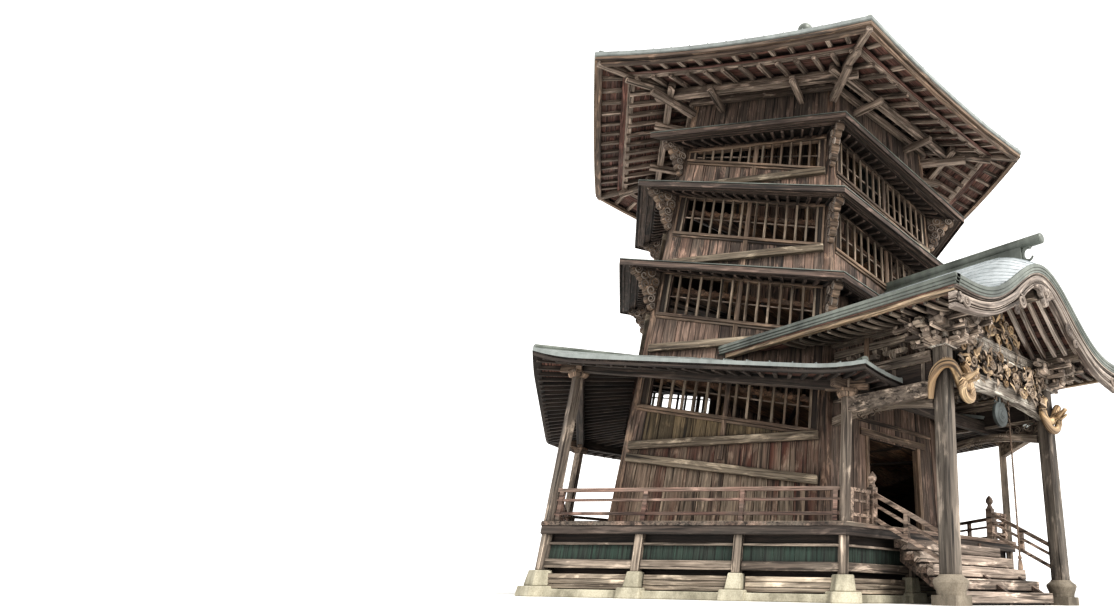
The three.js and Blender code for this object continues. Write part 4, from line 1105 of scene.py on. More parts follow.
def make_skirt():
    sheets, seams, rafters, edges, caps, boards = (Pile() for _ in range(6))
    for side, start, end in skirt_stretches():
        stops = evenly(start, end, max(2, round(SKIRT_STOPS * (end - start))))
        sheets.sweep([[skirt_point(side, p, q, True, 0.002) for q in (0, 1.008)]
                      + [skirt_top(side, p, q, 0.022) for q in (1.008, 0.75, 0.5, 0.25, 0)] for p in stops])
        sheets.sweep([[skirt_point(side, p, q, True, lift) for q, lift in SKIRT_FASCIA] for p in stops])
        edges.sweep([[skirt_point(side, p, q, False, lift) for q, lift in SKIRT_EDGE_BOARD] for p in stops])
        for part in evenly(start, end, round(SKIRT_RIBS * (end - start))):
            if 0.01 < part < 0.99:
                before, after = (skirt_point(side, part + near, 0.5) for near in (-0.01, 0.01))
                level = (after - before).normalized()
                slope = [skirt_top(side, part, q, 0.02) for q in (0.02, 0.25, 0.5, 0.75, 1.0)]
                seams.sweep([[point + level * a + Z * lift for a, lift in SKIRT_SEAM] for point in slope])
        count = round(SKIRT_RAFTERS * (end - start))
        for part in (mix(start, end, (i + 0.5) / count) for i in range(count)):
            rafters.bar(*(skirt_point(side, part, q, False, -0.04) for q in (0.03, 0.965)), 0.065, 0.08)
        for row in range(SKIRT_BOARDS):
            section = oblong(row / SKIRT_BOARDS + 0.005, (row + 1) / SKIRT_BOARDS - 0.002, -0.012, 0)
            boards.sweep([[skirt_point(side, p, q, False, lift) for q, lift in section] for p in stops])
    for index in range(6):
        level = polar(0.06, corner_angle(index) + 90)
        caps.sweep([circle(skirt_point(index, 0.0, q, True, 0.03), level, Z * 0.05, 8)
                    for q in (0.0, 0.5, 0.97, 1.0)])
    sheets.build("skirt_sheets", "metal", 0.003, slot="roof_metal")
    seams.build("skirt_seams", "metal", 0.003, slot="roof_metal")
    rafters.build("skirt_rafters", "edge_board", 0.005, slot="dark_wood")
    edges.build("skirt_edge_boards", "dark", 0.006, slot="dark_wood")
    caps.build("skirt_hips", "metal_edge", 0, smooth=True, slot="roof_metal")
    boards.build("skirt_boards", "red_board", 0, slot="dark_wood")


def make_veranda_heads():
    """Blocks and arms on the veranda posts, and the beams from post to post"""
    brackets, beams = Pile(), Pile()
    for index, corner in enumerate(CORNERS):
        top = under_skirt(index) + 0.02
        x, y = polar(VERANDA, corner).xy
        brackets.post(x, y, corner, 0.24, top - 0.34, top - 0.26, 0.3)
        brackets.post(x, y, corner, 0.3, top - 0.26, top - 0.2)
        foot = Vector((x, y, top - 0.12))
        for turn in (60, 120):
            for arm in (-0.38, 0.38):
                brackets.bar(foot, foot + polar(arm, corner + turn), 0.11, 0.2)
    for side in range(6):
        ends = (polar(VERANDA, corner_angle(at), under_skirt(at % 6) - 0.08) for at in (side, side + 1))
        beams.bar(*ends, 0.15, 0.25)
    brackets.build("post_brackets", "brown", 0.012, slot="grey_wood")
    beams.build("veranda_eave_beams", "edge_board", 0.012, slot="dark_wood")


# Under the veranda

KERB_SECTION = oblong(-0.15, 0.15, 0, 0.12)
BAYS = 3
BAY_PANELS = 9


def veranda_point(side, part, out, z):
    grown = VERANDA + out / FACE_COS
    return polar(grown, corner_angle(side), z).lerp(polar(grown, corner_angle(side + 1), z), part)


def short_posts(side):
    """(x, y, turn, at a corner) of the posts under one side of the veranda"""
    for bay in range(BAYS):
        yield *veranda_point(side, bay / BAYS, 0, 0).xy, corner_angle(side) - (30 if bay else 0), bay == 0


def make_stones():
    """Kerb, and a slab and a block under each post"""
    stones = Pile()
    stones.sweep([[polar(VERANDA + out, corner, z) for out, z in KERB_SECTION] for corner in CORNERS],
                 closed=True)
    for side in range(6):
        for x, y, turn, at_corner in short_posts(side):
            wide = 0.34 if at_corner else 0.27
            stones.post(x, y, turn, wide + 0.15, 0, 0.16, wide + 0.13)
            stones.post(x, y, turn, wide, 0.16, 0.4, wide - 0.06)
    stones.build("footing_stones", "stone", 0.014, slot="stone", stands_for=("stone_kerb",))


def lengthwise(pile, side, part0, part1, section):
    """A board along a stretch of one side of the veranda; the section is in (out, height)"""
    pile.sweep([[veranda_point(side, part, out, z) for out, z in section] for part in (part0, part1)])


def make_underfloor():
    posts, panels, rails, boards, shade_sheets = (Pile() for _ in range(5))
    for side in range(6):
        for x, y, turn, _ in short_posts(side):
            posts.post(x, y, turn, 0.14, 0.4, 0.979)
        for bay in range(BAYS):
            p0, p1 = bay / BAYS, (bay + 1) / BAYS
            for out, low, high in ((0.02, 0.8, 0.84), (0.03, 0.44, 0.575)):
                lengthwise(rails, side, p0 + 0.014, p1 - 0.014, oblong(-out, out, low, high))
            for low, high in ((0.13, 0.2), (0.2, 0.28), (0.28, 0.36)):
                section = oblong(-0.03, random.uniform(0.0, 0.014), low, high - 0.006)
                lengthwise(boards, side, p0 + 0.03, p1 - 0.03, section)
            for i in range(BAY_PANELS):
                q0, q1 = (mix(p0 + 0.01, p1 - 0.01, (i + k) / BAY_PANELS) - 0.0004 * k for k in (0, 1))
                section = oblong(q0, q1, -0.05, -0.03 + 0.004 * (i % 2))
                panels.sweep([[veranda_point(side, part, out, z) for part, out in section]
                              for z in (0.57, 0.81)])
            # Dark sheets set back under the deck's edge and near the ground: painted shade for the dark space
            # under the veranda
            for out, low, high in ((-0.09, 0.84, 0.98), (-0.2, 0.02, 0.44)):
                lengthwise(shade_sheets, side, p0, p1, oblong(out, out + 0.02, low, high))
    posts.build("short_posts", "old", 0.008, slot="grey_wood", stands_for=("underfloor_frame",))
    panels.build("green_panels", "green", 0.002, slot="dark_wood")
    rails.build("underfloor_rails", "old", 0.006, slot="grey_wood")
    shade_sheets.build("underfloor_painted_shade", "dark", 0, slot="dark_wood")
    boards.build("underfloor_boards", "old_board", 0.005, slot="grey_wood")


DECK_BOARD = 0.155


def make_deck():
    planks, edge = Pile(), Pile()
    for face in range(6):
        for d in steps(1.5, 4.6, DECK_BOARD):
            face_board(planks, face, d, min(d + DECK_BOARD, 4.612) - 0.005, level_at(DECK - 0.002), 0.01)
        face_board(edge, face, 4.5, 4.6, level_at(0.965), 0.14)
    planks.build("deck_planks", "old_board", 0.002, slot="grey_wood")
    edge.build("deck_edge_beams", "edge_board", 0.008, slot="grey_wood")


# Inside

CORE = 1.7
CLEATS_A_FACE = 14
CLEAT_SECTION = ((-0.045, 0), (0.045, 0), (0.04, 0.03), (0.012, 0.048), (-0.03, 0.042), (-0.045, 0.02))
CORE_PLANKS = 9
PLANKED_CORE_FACES = (0, 2, 3, 5)


def ramp_point(first, step, q, lift=0.0):
    """q is 0 at the core and 1 at the wall"""
    base = math.floor(step + 1e-9)
    z = max(floor_at(step), DECK + 0.03)
    outer = shaft(z) - 0.13 / FACE_COS
    ends = [polar(mix(CORE, outer, q), corner_angle(index + first), z + lift) for index in (base, base + 1)]
    return ends[0].lerp(ends[1], step - base)


def make_inside():
    cleats, pillars, lining, ceiling = (Pile() for _ in range(4))
    for _, first in RAMPS:
        for i in range(round((RAMP_END + 0.3) * CLEATS_A_FACE)):
            step = -0.25 + i / CLEATS_A_FACE
            ahead = ramp_point(first, step + 0.01, 0.5) - ramp_point(first, step - 0.01, 0.5)
            ahead = Vector((ahead.x, ahead.y, 0)).normalized()
            cleats.sweep([[ramp_point(first, step, q) + ahead * x + Z * z for x, z in CLEAT_SECTION]
                          for q in (0.01, 0.99)])
        # Joists under each ramp
        for at in (2.125 + i / 4 for i in range(4 * (RAMP_END - 2))):
            ceiling.bar(ramp_point(first, at, 0.02, -0.13), ramp_point(first, at, 0.98, -0.13), 0.08, 0.07)
    for corner in CORNERS:
        pillars.post(*polar(CORE, corner).xy, corner, 0.19, DECK + 0.002, WALL_TOP - 0.05)
    for face in PLANKED_CORE_FACES:
        for i in range(CORE_PLANKS):
            section = oblong(i / CORE_PLANKS + 0.004, (i + 1) / CORE_PLANKS - 0.004, CORE + 0.003,
                             CORE + 0.015)
            start, end = corner_angle(face), corner_angle(face + 1)
            lining.sweep([[polar(radius, start, z).lerp(polar(radius, end, z), part)
                           for part, radius in section] for z in (DECK + 0.01, WALL_TOP - 0.1)])
    cleats.build("ramp_cleats", "ramp", 0.004, slot="ramp_wood")
    pillars.build("core_pillars", "pillar", 0.012, slot="ramp_wood")
    lining.build("core_planks", "wall", 0.002, slot="dark_wood")
    ceiling.build("ramp_joists", "dark", 0.006, slot="dark_wood")


# Porch

CURVE_STEP = 0.02
SHEET_DROP = -0.022
SHEET_THICK = 0.016
LAP_STEP = 0.17
LAP_SECTION = ((-0.012, 0), (0.012, 0), (0.01, 0.012), (-0.008, 0.009))
# Steps of the thick edge: depth of the top and the bottom, and how far it stands out
EDGE_STEPS = ((-0.025, 0.045, 0.03), (0.045, 0.1, 0.018), (0.1, 0.145, 0.004))


def outside_tower(point, margin=0.03):
    """True where a point stands off every face of the tower"""
    far = max(point.xy.dot(polar(1, corner_angle(face) - 30).xy) for face in range(6))
    return far > shaft(point.z) * FACE_COS + margin


def bell_point(x, y, drop=0.0):
    return Vector((x, y, porch_height(x, y, drop)))


def bell_normal(x, y):
    """Upward direction square to the porch roof's curve"""
    slope = (porch_height(x + 0.01, y) - porch_height(x - 0.01, y)) / 0.02
    return Vector((-slope, 0, 1)).normalized()


def porch_back(x, drop=0.0, margin=0.03):
    """How far back the porch roof runs at x before it meets the tower"""
    y = PORCH_FRONT
    while y < -1.3 and outside_tower(bell_point(x, y, drop), margin):
        y += CURVE_STEP
    return y - CURVE_STEP


def rows_back(x, start, count):
    """Places from start back to the tower, wider apart towards it"""
    back = porch_back(x)
    return [mix(start, back, part ** 1.3) for part in evenly(0, 1, count)]


def curved(pile, y, x0, x1, near, far, depth, count=36):
    """A board that follows the porch roof's curve, from near to far below its surface"""
    rings = []
    for x in evenly(x0, x1, count):
        point, up = bell_point(x, y), bell_normal(x, y)
        section = ((near, 0), (near, depth), (far, depth), (far, 0))
        rings.append([point - up * down(x) + Y * back for down, back in section])
    pile.sweep(rings)


def side_block(pile, side, x0, x1, low, high):
    """A block on one side of the porch, x0 to x1 from its middle; low and high are (y, z)"""
    x0, x1 = sorted((side * x0, side * x1))
    pile.block((x0, *low), (x1, *high))


def lap_places():
    """How far from the middle each sheet laps over the next, evenly along the curve"""
    length = 0.0
    for x in steps(0.0, PORCH_HALF - 0.03, CURVE_STEP):
        length += (bell_point(x + CURVE_STEP, -5) - bell_point(x, -5)).length
        if length > LAP_STEP:
            length = 0.0
            yield x + CURVE_STEP


def make_porch_roof():
    sheets, seams, edge = (Pile() for _ in range(3))
    rings = []
    for x in evenly(-PORCH_HALF, PORCH_HALF, 64):
        over = [bell_point(x, y, SHEET_DROP) for y in rows_back(x, PORCH_FRONT, 16)]
        rings.append(over + [point - Z * SHEET_THICK for point in reversed(over)])
    sheets.sweep(rings)
    # Laps of the sheets, level along the roof
    for x in lap_places():
        for side in (-1, 1):
            rings = []
            for y in rows_back(side * x, PORCH_FRONT + 0.004, 14):
                point, up = bell_point(side * x, y, SHEET_DROP), bell_normal(side * x, y)
                down = Vector((side, 0, (porch_height(x + 0.01, y) - porch_height(x, y)) / 0.01)).normalized()
                rings.append([point + down * a + up * lift for a, lift in LAP_SECTION])
            seams.sweep(rings)
    # Thick edge, round the front and both eaves
    for near, far, out in EDGE_STEPS:
        front = PORCH_FRONT - out
        curved(edge, front, -PORCH_HALF, PORCH_HALF, level_at(near), level_at(far), 0.08, 56)
        for side in (-1, 1):
            back = porch_back(side * PORCH_HALF, 0.07)
            side_block(edge, side, PORCH_HALF + out, 3.0, (front, PORCH_EAVE - far),
                       (back, PORCH_EAVE - near))
    sheets.build("porch_sheets", "pale_metal", 0, smooth=True, slot="roof_metal")
    seams.build("porch_laps", "pale_metal", 0, slot="roof_metal")
    edge.build("porch_edge", "metal_edge", 0.008, smooth=True, slot="roof_metal")


RIB_STEP = 0.235
RIB_BOARD = 0.17
BOARD_DROP = 0.122
# Rafters: start and end from the middle, depth of the top and the bottom, length along the ridge, parts
PORCH_RAFTERS = ((1.95, 2.84, 0.15, 0.23, 0.08, 8), (2.3, 3.0, 0.125, 0.19, 0.07, 6))
# Their painted tips: place, depth of the top and the bottom
RAFTER_TIPS = ((2.85, 0.155, 0.225), (3.005, 0.13, 0.185))


def make_porch_underside():
    ribs, boards, rafters, tips, tan, red = (Pile() for _ in range(6))
    for y in steps(-6.86, -2.9, RIB_STEP):
        before_tower = outside_tower(Vector((0, y, 5.9)), 0.05)
        if before_tower:
            curved(ribs, y, -1.95, 1.95, level_at(0.125), level_at(0.235), 0.085, 28)
        elif not outside_tower(Vector((2.75, y, PORCH_EAVE - 0.2)), 0.1):
            continue
        for side in (-1, 1):
            for x0, x1, near, far, depth, count in PORCH_RAFTERS if before_tower else PORCH_RAFTERS[1:]:
                curved(rafters, y, side * x0, side * x1, level_at(near), level_at(far), depth, count)
            for x, near, far in RAFTER_TIPS if before_tower else ():
                z = porch_height(x, y)
                side_block(tips, side, x, x + 0.006, (y + 0.006, z - far), (y + 0.068, z - near))
    # Boards between the ribs
    for x in steps(-2.98, 2.98, RIB_BOARD):
        back = min(porch_back(at, 0.13, 0.05) for at in (x, x + RIB_BOARD))
        section = oblong(x, x + RIB_BOARD - 0.005, BOARD_DROP, BOARD_DROP + 0.012)
        boards.sweep([[bell_point(at, y, drop) for at, drop in section]
                      for y in (PORCH_FRONT + 0.1, -6.6, -6.2, back)])
    for side in (-1, 1):
        back = porch_back(side * 3.0, 0.2, 0.02)
        side_block(tan, side, 2.96, 3.06, (-7.04, PORCH_EAVE - 0.235), (back, PORCH_EAVE - 0.15))
        side_block(red, side, 2.99, 3.075, (-7.05, PORCH_EAVE - 0.163), (back, PORCH_EAVE - 0.143))
    ribs.build("porch_ribs", "rib", 0.01, slot="grey_wood")
    boards.build("porch_boards", "red_board", 0, slot="dark_wood")
    rafters.build("porch_rafters", "old", 0.006, slot="grey_wood")
    tips.build("porch_rafter_tips", "white_tip", 0, slot="grey_wood")
    tan.build("porch_eave_boards", "tan", 0.005, slot="grey_wood")
    red.build("porch_eave_strips", "red_board", 0.003, slot="dark_wood")


# Layers of the gable board: depth of its top and bottom, sag at the tips, swell at the inflection, front
GABLE_LAYERS = ((0.13, 0.175, 0.0, 0.0, -7.09), (0.182, 0.2, 0.0, 0.0, -7.07),
                (0.21, 0.31, 0.06, 0.02, -7.075), (0.318, 0.338, 0.07, 0.02, -7.06),
                (0.345, 0.41, 0.11, 0.06, -7.065))
GABLE_BACK = -6.93
# Curls at the inflection: place, depth, radius, turns, start
GABLE_CURLS = ((INFLECTION - 0.1, 0.45, 0.13, 1.8, 1.2), (INFLECTION + 0.14, 0.5, 0.08, 1.4, 0.4))
PENDANT_WING = ((0.0, 0.0), (0.16, 0.02), (0.3, -0.03), (0.42, -0.1), (0.33, -0.13), (0.24, -0.12),
                (0.2, -0.2), (0.11, -0.24), (0.09, -0.34), (0.0, -0.4))
# Rings of a flower, as (share of its radius, height)
FLOWER_RINGS = ((1.0, -0.02), (1.0, 0.004), (0.8, 0.018), (0.42, 0.008), (0.34, 0.022), (0.12, 0.028))


def facing(x, y, z, flip=1, depth=1.0):
    """Gives the points of a carved face that looks to the front"""
    return lambda a, b, lift: Vector((x + flip * a, y - depth * lift, z + b))


def gable_edge(drop, sag_depth, swell):
    """Depth below the porch roof's surface, along the gable board"""
    return lambda x: (drop + sag_depth * (abs(x) / PORCH_HALF) ** 4
                      + swell * math.exp(-((abs(x) - INFLECTION) / 0.2) ** 2))


def make_bargeboard():
    boards, carving = Pile(), Pile()
    half = PORCH_HALF - 0.03
    for near, far, sag_depth, swell, y in GABLE_LAYERS:
        share = near / far
        curved(boards, y, -half, half, gable_edge(near, sag_depth * share, swell * share),
               gable_edge(far, sag_depth, swell), GABLE_BACK - y, 56)
    for side in (-1, 1):
        for x, drop, radius, turns, start in GABLE_CURLS:
            centre = bell_point(x, PORCH_FRONT) - bell_normal(x, PORCH_FRONT) * drop
            spiral(carving, facing(side * centre.x, -7.06, centre.z, side), radius, 0.03, turns, 8, 22, start)
        # Rosette on the low tip
        rosette(carving, Vector((side * 2.96, -7.085, porch_height(2.9, PORCH_FRONT) - 0.33)), 0.085)
        spiral(carving, facing(side * 2.78, -7.075, 4.22, -side), 0.1, 0.026, 1.5, 8, 20, 2.6)
    # Pendant under the apex
    top = porch_height(0, PORCH_FRONT) - 0.4
    outline = PENDANT_WING + tuple((-x, z) for x, z in reversed(PENDANT_WING[1:-1]))
    carving.sweep([[Vector((x * grow, y, top + z * grow)) for x, z in outline]
                   for y, grow in ((-7.09, 0.93), (-7.075, 1.0), (-7.02, 1.0))])
    for side in (-1, 1):
        spiral(carving, facing(side * 0.2, -7.092, top - 0.1, side, 0.8), 0.08, 0.02, 1.5, 6, 18)
    rosette(carving, Vector((0, -7.1, top - 0.16)), 0.06)
    boards.build("gable_boards", "gable", 0.008, slot="grey_wood", stands_for=("bargeboard",))
    carving.build("gable_carving", "gable", 0, smooth=True, slot="grey_wood")


def rosette(pile, centre, radius):
    """A flower of eight petals facing the front"""
    rings = []
    for far, lift in FLOWER_RINGS:
        ring = []
        for turn in full_turn(24):
            petal = radius * far * (1 + (0.1 * math.cos(8 * turn) if far > 0.5 else 0))
            ring.append(centre + Vector((petal * math.cos(turn), -lift, petal * math.sin(turn))))
        rings.append(ring)
    pile.sweep(rings)


RIDGE_Z = 6.44
# The log's rings, as (place, radius)
RIDGE_RINGS = ((-7.145, 0.0825), (-7.12, 0.11), (-6.7, 0.11), (-6.0, 0.11), (-5.0, 0.11), (-4.0, 0.11),
               (-3.2, 0.11))
HOOK_CENTRE = (-6.82, 6.2)


def make_ridge():
    log, hook, saddle = (Pile() for _ in range(3))
    log.sweep([circle(Vector((0, y, RIDGE_Z)), X * radius, Z * radius, 16) for y, radius in RIDGE_RINGS])
    for side in (-1, 1):
        saddle.sweep([[Vector((side * 0.04, y, 6.2)), bell_point(side * 0.3, y, -0.02),
                       bell_point(side * 0.3, y, -0.045), Vector((side * 0.08, y, 6.3))]
                       for y in (-6.2, -3.2)])
    saddle.block((-0.07, -6.7, 6.0), (0.07, -3.25, 6.36))
    # Hooked ornament under the log's end
    rings = []
    for part in evenly(0, 1, 19):
        turn = math.radians(mix(60, 330, part))
        away = Vector((0, -math.cos(turn), math.sin(turn)))
        centre = Vector((0, HOOK_CENTRE[0] + 0.13 * away.y * (1 - 0.2 * part),
                         HOOK_CENTRE[1] + 0.15 * away.z))
        size = mix(0.055, 0.022, part)
        rings.append(circle(centre, X * (0.8 * size), away * size, 10))
    hook.sweep(rings)
    log.build("ridge_log", "metal_edge", 0.006, smooth=True, slot="roof_metal", stands_for=("porch_ridge",))
    saddle.build("ridge_saddle", "metal_edge", 0.006, slot="roof_metal")
    hook.build("ridge_hook", "metal_edge", 0, smooth=True, slot="roof_metal")


# A bearing block's sections, as (share of its width, share of its height)
BLOCK_SECTIONS = ((0.68, 0.0), (0.78, 0.18), (0.95, 0.42), (1.0, 0.46), (1.0, 1.0))
# Outlines as (along, up), in shares of half the arm's length and its height, and of the nose's size
ARM_OUTLINE = ((-1, 1), (-1, 0.62), (-0.93, 0.3), (-0.8, 0.08), (-0.62, 0), (0.62, 0), (0.8, 0.08),
               (0.93, 0.3), (1, 0.62), (1, 1))
BEAST_OUTLINE = ((0, 0), (0.12, -0.03), (0.22, -0.02), (0.27, -0.08), (0.36, -0.11), (0.42, -0.05),
                 (0.52, -0.02), (0.56, 0.06), (0.51, 0.11), (0.44, 0.09), (0.4, 0.15), (0.45, 0.21),
                 (0.39, 0.27), (0.28, 0.24), (0.22, 0.3), (0.1, 0.27), (0, 0.29))
BEAST_CURLS = ((0.42, 0.03, 0.075), (0.3, 0.16, 0.075), (0.14, 0.1, 0.1))
CROSS_BARS = (0.42, 0.62, 0.82)


def stepped_block(pile, centre, size, height):
    """A bearing block: square above, tapering below"""
    rings = []
    for grow, up in BLOCK_SECTIONS:
        half = size / 2 * grow
        rings.append([Vector(centre) + X * a + Y * b + Z * (height * up)
                      for a, b in oblong(-half, half, -half, half)])
    pile.sweep(rings)


def bracket_arm(pile, centre, axis, half, width, height):
    """An arm with upturned, rounded ends; centre is its foot"""
    side = Z.cross(axis) * (width / 2)
    pile.sweep([[Vector(centre) + axis * (half * a) + Z * (height * up) + side * sign
                 for a, up in ARM_OUTLINE] for sign in (-1, 1)])


def beam_nose(pile, curls, foot, axis, size, width):
    """A carved beam end that stands out from a column"""
    side = Z.cross(axis)

    def at(out, up, across):
        return Vector(foot) + axis * (out * size) + Z * (up * size) + side * across
    pile.sweep([[at(out * grow, (up - 0.1) * grow + 0.1, across * width) for out, up in BEAST_OUTLINE]
                for across, grow in ((-0.5, 0.9), (-0.34, 1), (0.34, 1), (0.5, 0.9))])
    for out, up, radius in BEAST_CURLS:
        for sign in (-1, 1):
            spiral(curls, lambda a, b, lift: at(out + a, up + b, sign * (width / 2 + lift)), radius, 0.016,
                   1.5, 6, 16)


def make_brackets():
    arms, noses, curls = (Pile() for _ in range(3))
    y = COLUMN_Y
    for side in (-1, 1):
        x = side * COLUMN_X
        stepped_block(arms, (x, y, 3.95), 0.46, 0.12)
        for axis in (X, Y):
            bracket_arm(arms, (x, y, 4.0), axis, 0.5, 0.13, 0.12)
            for end in (-0.43, 0.43):
                stepped_block(arms, Vector((x, y, 4.115)) + axis * end, 0.17, 0.09)
        for row in (y - 0.3, y + 0.3):
            bracket_arm(arms, (x, row, 4.2), X, 0.62, 0.11, 0.11)
            for end in (-0.52, 0, 0.52):
                stepped_block(arms, (x + end, row, 4.305), 0.15, 0.085)
            arms.block((x - 0.72, row - 0.045, 4.385), (x + 0.72, row + 0.045, 4.46))
        # Third step, out to the front
        bracket_arm(arms, (x, y - 0.32, 4.22), Y, 0.42, 0.11, 0.1)
        stepped_block(arms, (x, y - 0.66, 4.31), 0.15, 0.085)
        arms.block((x - 0.5, y - 0.7, 4.39), (x + 0.5, y - 0.62, 4.45))
        # Levels of crossing bars that step out to the corner, each with its blocks
        for level, far in enumerate(CROSS_BARS):
            z = 4.0 + 0.15 * level
            for turn in (-1, 1):
                offset = turn * (0.12 + 0.09 * level)
                arms.block((x - far, y + offset - 0.035, z), (x + far, y + offset + 0.035, z + 0.07))
                arms.block((x + offset - 0.035, y - far, z + 0.002), (x + offset + 0.035, y + far, z + 0.072))
                for end in (-0.92, -0.45, 0.45, 0.92):
                    stepped_block(arms, (x + end * far, y + offset, z + 0.075), 0.11, 0.06)
                    stepped_block(arms, (x + offset, y + end * far, z + 0.077), 0.11, 0.06)
        beam_nose(noses, curls, (x, y - 0.2, 4.16), -Y, 0.6, 0.13)
        beam_nose(noses, curls, (x + side * 0.5, y, 4.2), X * side, 0.5, 0.15)
    arms.build("porch_brackets", "bracket", 0.008, slot="grey_wood")
    noses.build("beam_noses", "old", 0.008, slot="grey_wood")
    curls.build("beam_nose_curls", "pale", 0, smooth=True, slot="grey_wood")


def make_side_frames():
    """Beams, panels and struts between the porch columns and the tower"""
    beams, panels, frames = (Pile() for _ in range(3))
    back = -shaft(3.9) * FACE_COS - 0.06
    front = COLUMN_Y + 0.2
    for side in (-1, 1):
        x = side * COLUMN_X
        beams.bar((x, front, 3.86), (x, back, 3.86), 0.15, 0.2)
        beams.bar((x, front + 0.2, 4.3), (x, back, 4.3), 0.12, 0.14)
        panels.bar((x, front, 3.58), (x, back, 3.58), 0.05, 0.4)
        for y in (mix(front, back, part) for part in (0.08, 0.36, 0.64, 0.92)):
            frames.block((x - 0.045, y - 0.04, 3.4), (x + 0.045, y + 0.04, 3.78))
            stepped_block(frames, (x, y, 3.96), 0.16, 0.09)
            bracket_arm(frames, (x, y, 4.04), Y, 0.26, 0.1, 0.1)
            for end in (-0.2, 0.2):
                stepped_block(frames, (x, y + end, 4.135), 0.12, 0.08)
        frames.bar((x, front, 3.4), (x, back, 3.4), 0.1, 0.05)
        # Cambered beam between the column and the tower
        section = oblong(-0.07, 0.07, -0.07, 0.08)
        beams.sweep([[Vector((x + a, mix(COLUMN_Y + 0.18, back, part),
                              3.02 + 0.14 * math.sin(math.pi * part) + b))
                      for a, b in section] for part in evenly(0, 1, 12)])
    beams.build("side_tie_beams", "old", 0.012, slot="grey_wood")
    panels.build("side_panels", "dark", 0.004, slot="dark_wood")
    frames.build("side_brackets", "old", 0.006, slot="grey_wood")


# Dragons

# Routes as (from the column's axis towards the middle, back, height)
COIL_ROUTE = ((-0.2, 0.13, 3.06), (-0.25, 0.06, 3.34), (-0.255, -0.03, 3.5), (-0.22, -0.15, 3.6),
              (-0.11, -0.235, 3.61), (0.01, -0.255, 3.5), (0.12, -0.24, 3.35), (0.27, -0.21, 3.27),
              (0.41, -0.19, 3.34), (0.45, -0.19, 3.5), (0.41, -0.19, 3.66), (0.31, -0.19, 3.72))
NECK_ROUTE = ((0.45, -0.195, 3.44), (0.47, -0.235, 3.27), (0.4, -0.27, 3.13), (0.26, -0.29, 3.09),
              (0.13, -0.3, 3.14), (0.08, -0.315, 3.24), (0.1, -0.345, 3.33))
HEAD = (0.12, -0.35, 3.35)
COIL_SIZE = 0.082
FIN_ROOT = oblong(-0.02, 0.02, -0.004, 0.004)
FIN_TIP = oblong(-0.004, 0.004, -0.002, 0.002)
# Sections of the head, as (along it, half width, half height), and of the jaw, with how far it drops
SKULL = ((0.0, 0.055, 0.05), (0.04, 0.085, 0.08), (0.1, 0.082, 0.078), (0.15, 0.06, 0.055),
         (0.2, 0.05, 0.04), (0.245, 0.052, 0.042), (0.27, 0.03, 0.025))
JAW = ((0.05, 0.05, -0.05), (0.13, 0.045, -0.075), (0.2, 0.036, -0.085), (0.23, 0.02, -0.075))
EYE_RADIUS = 0.02
LOCK_TURNS = (-0.7, -0.25, 0.2, 0.65, 1.1)


def curve_points(route, count):
    """A smooth line through a few points"""
    made, spans = [], len(route) - 1
    for where in evenly(0, spans, count - 1):
        k = min(int(where), spans - 1)
        t = where - k
        p0, p1, p2, p3 = (Vector(route[min(max(k + near, 0), spans)]) for near in (-1, 0, 1, 2))
        made.append(0.5 * ((2 * p1) + (p2 - p0) * t + (2 * p0 - 5 * p1 + 4 * p2 - p3) * t * t
                           + (3 * p1 - p0 - 3 * p2 + p3) * t ** 3))
    return made


def body(pile, points, size, sides=14):
    """A round body along points; size(part) is its radius"""
    rings = []
    for i, point in enumerate(points):
        ahead = (points[min(i + 1, len(points) - 1)] - points[max(i - 1, 0)]).normalized()
        side = ahead.cross(Z)
        side = side.normalized() if side.length > 0.05 else X
        radius = size(i / (len(points) - 1))
        rings.append(circle(point, side * radius, side.cross(ahead).normalized() * radius, sides))
    pile.sweep(rings)


def coil_size(part):
    return COIL_SIZE * (0.6 + 0.4 * min(1, part * 6)) * (1 - 0.25 * max(0, part - 0.85) / 0.15)


def at_column(side, point):
    return Vector((side * (COLUMN_X - point[0]), COLUMN_Y + point[1], point[2]))


def make_dragons():
    coils, fins, heads = (Pile() for _ in range(3))
    for side in (-1, 1):
        coil = [at_column(side, point) for point in curve_points(COIL_ROUTE, 90)]
        neck = [at_column(side, point) for point in curve_points(NECK_ROUTE, 46)]
        body(coils, coil, coil_size)
        body(coils, neck, lambda part: COIL_SIZE * mix(0.95, 0.82, part))
        # Fins along the back
        for points in (coil, neck):
            for i in range(3, len(points) - 3, 2):
                ahead = (points[i + 1] - points[i - 1]).normalized()
                out = (points[i] - Vector((side * COLUMN_X, COLUMN_Y, points[i].z))).normalized()
                up = (Z + out * 0.3).normalized()
                root = points[i] + up * COIL_SIZE * 0.9
                tip = root + up * 0.03 - ahead * 0.012
                fins.sweep([[place + ahead * a + out * b for a, b in section]
                            for place, section in ((root, FIN_ROOT), (tip, FIN_TIP))])
        dragon_head(heads, at_column(side, HEAD), Vector((-side * 0.3, -0.75, 0.45)).normalized())
    coils.build("dragon_bodies", "gold", 0, smooth=True, slot="carved_wood",
                stands_for=("dragon_coil_left", "dragon_coil_right"))
    fins.build("dragon_fins", "gold", 0, slot="carved_wood")
    heads.build("dragon_heads", "gold", 0, smooth=True, slot="carved_wood")


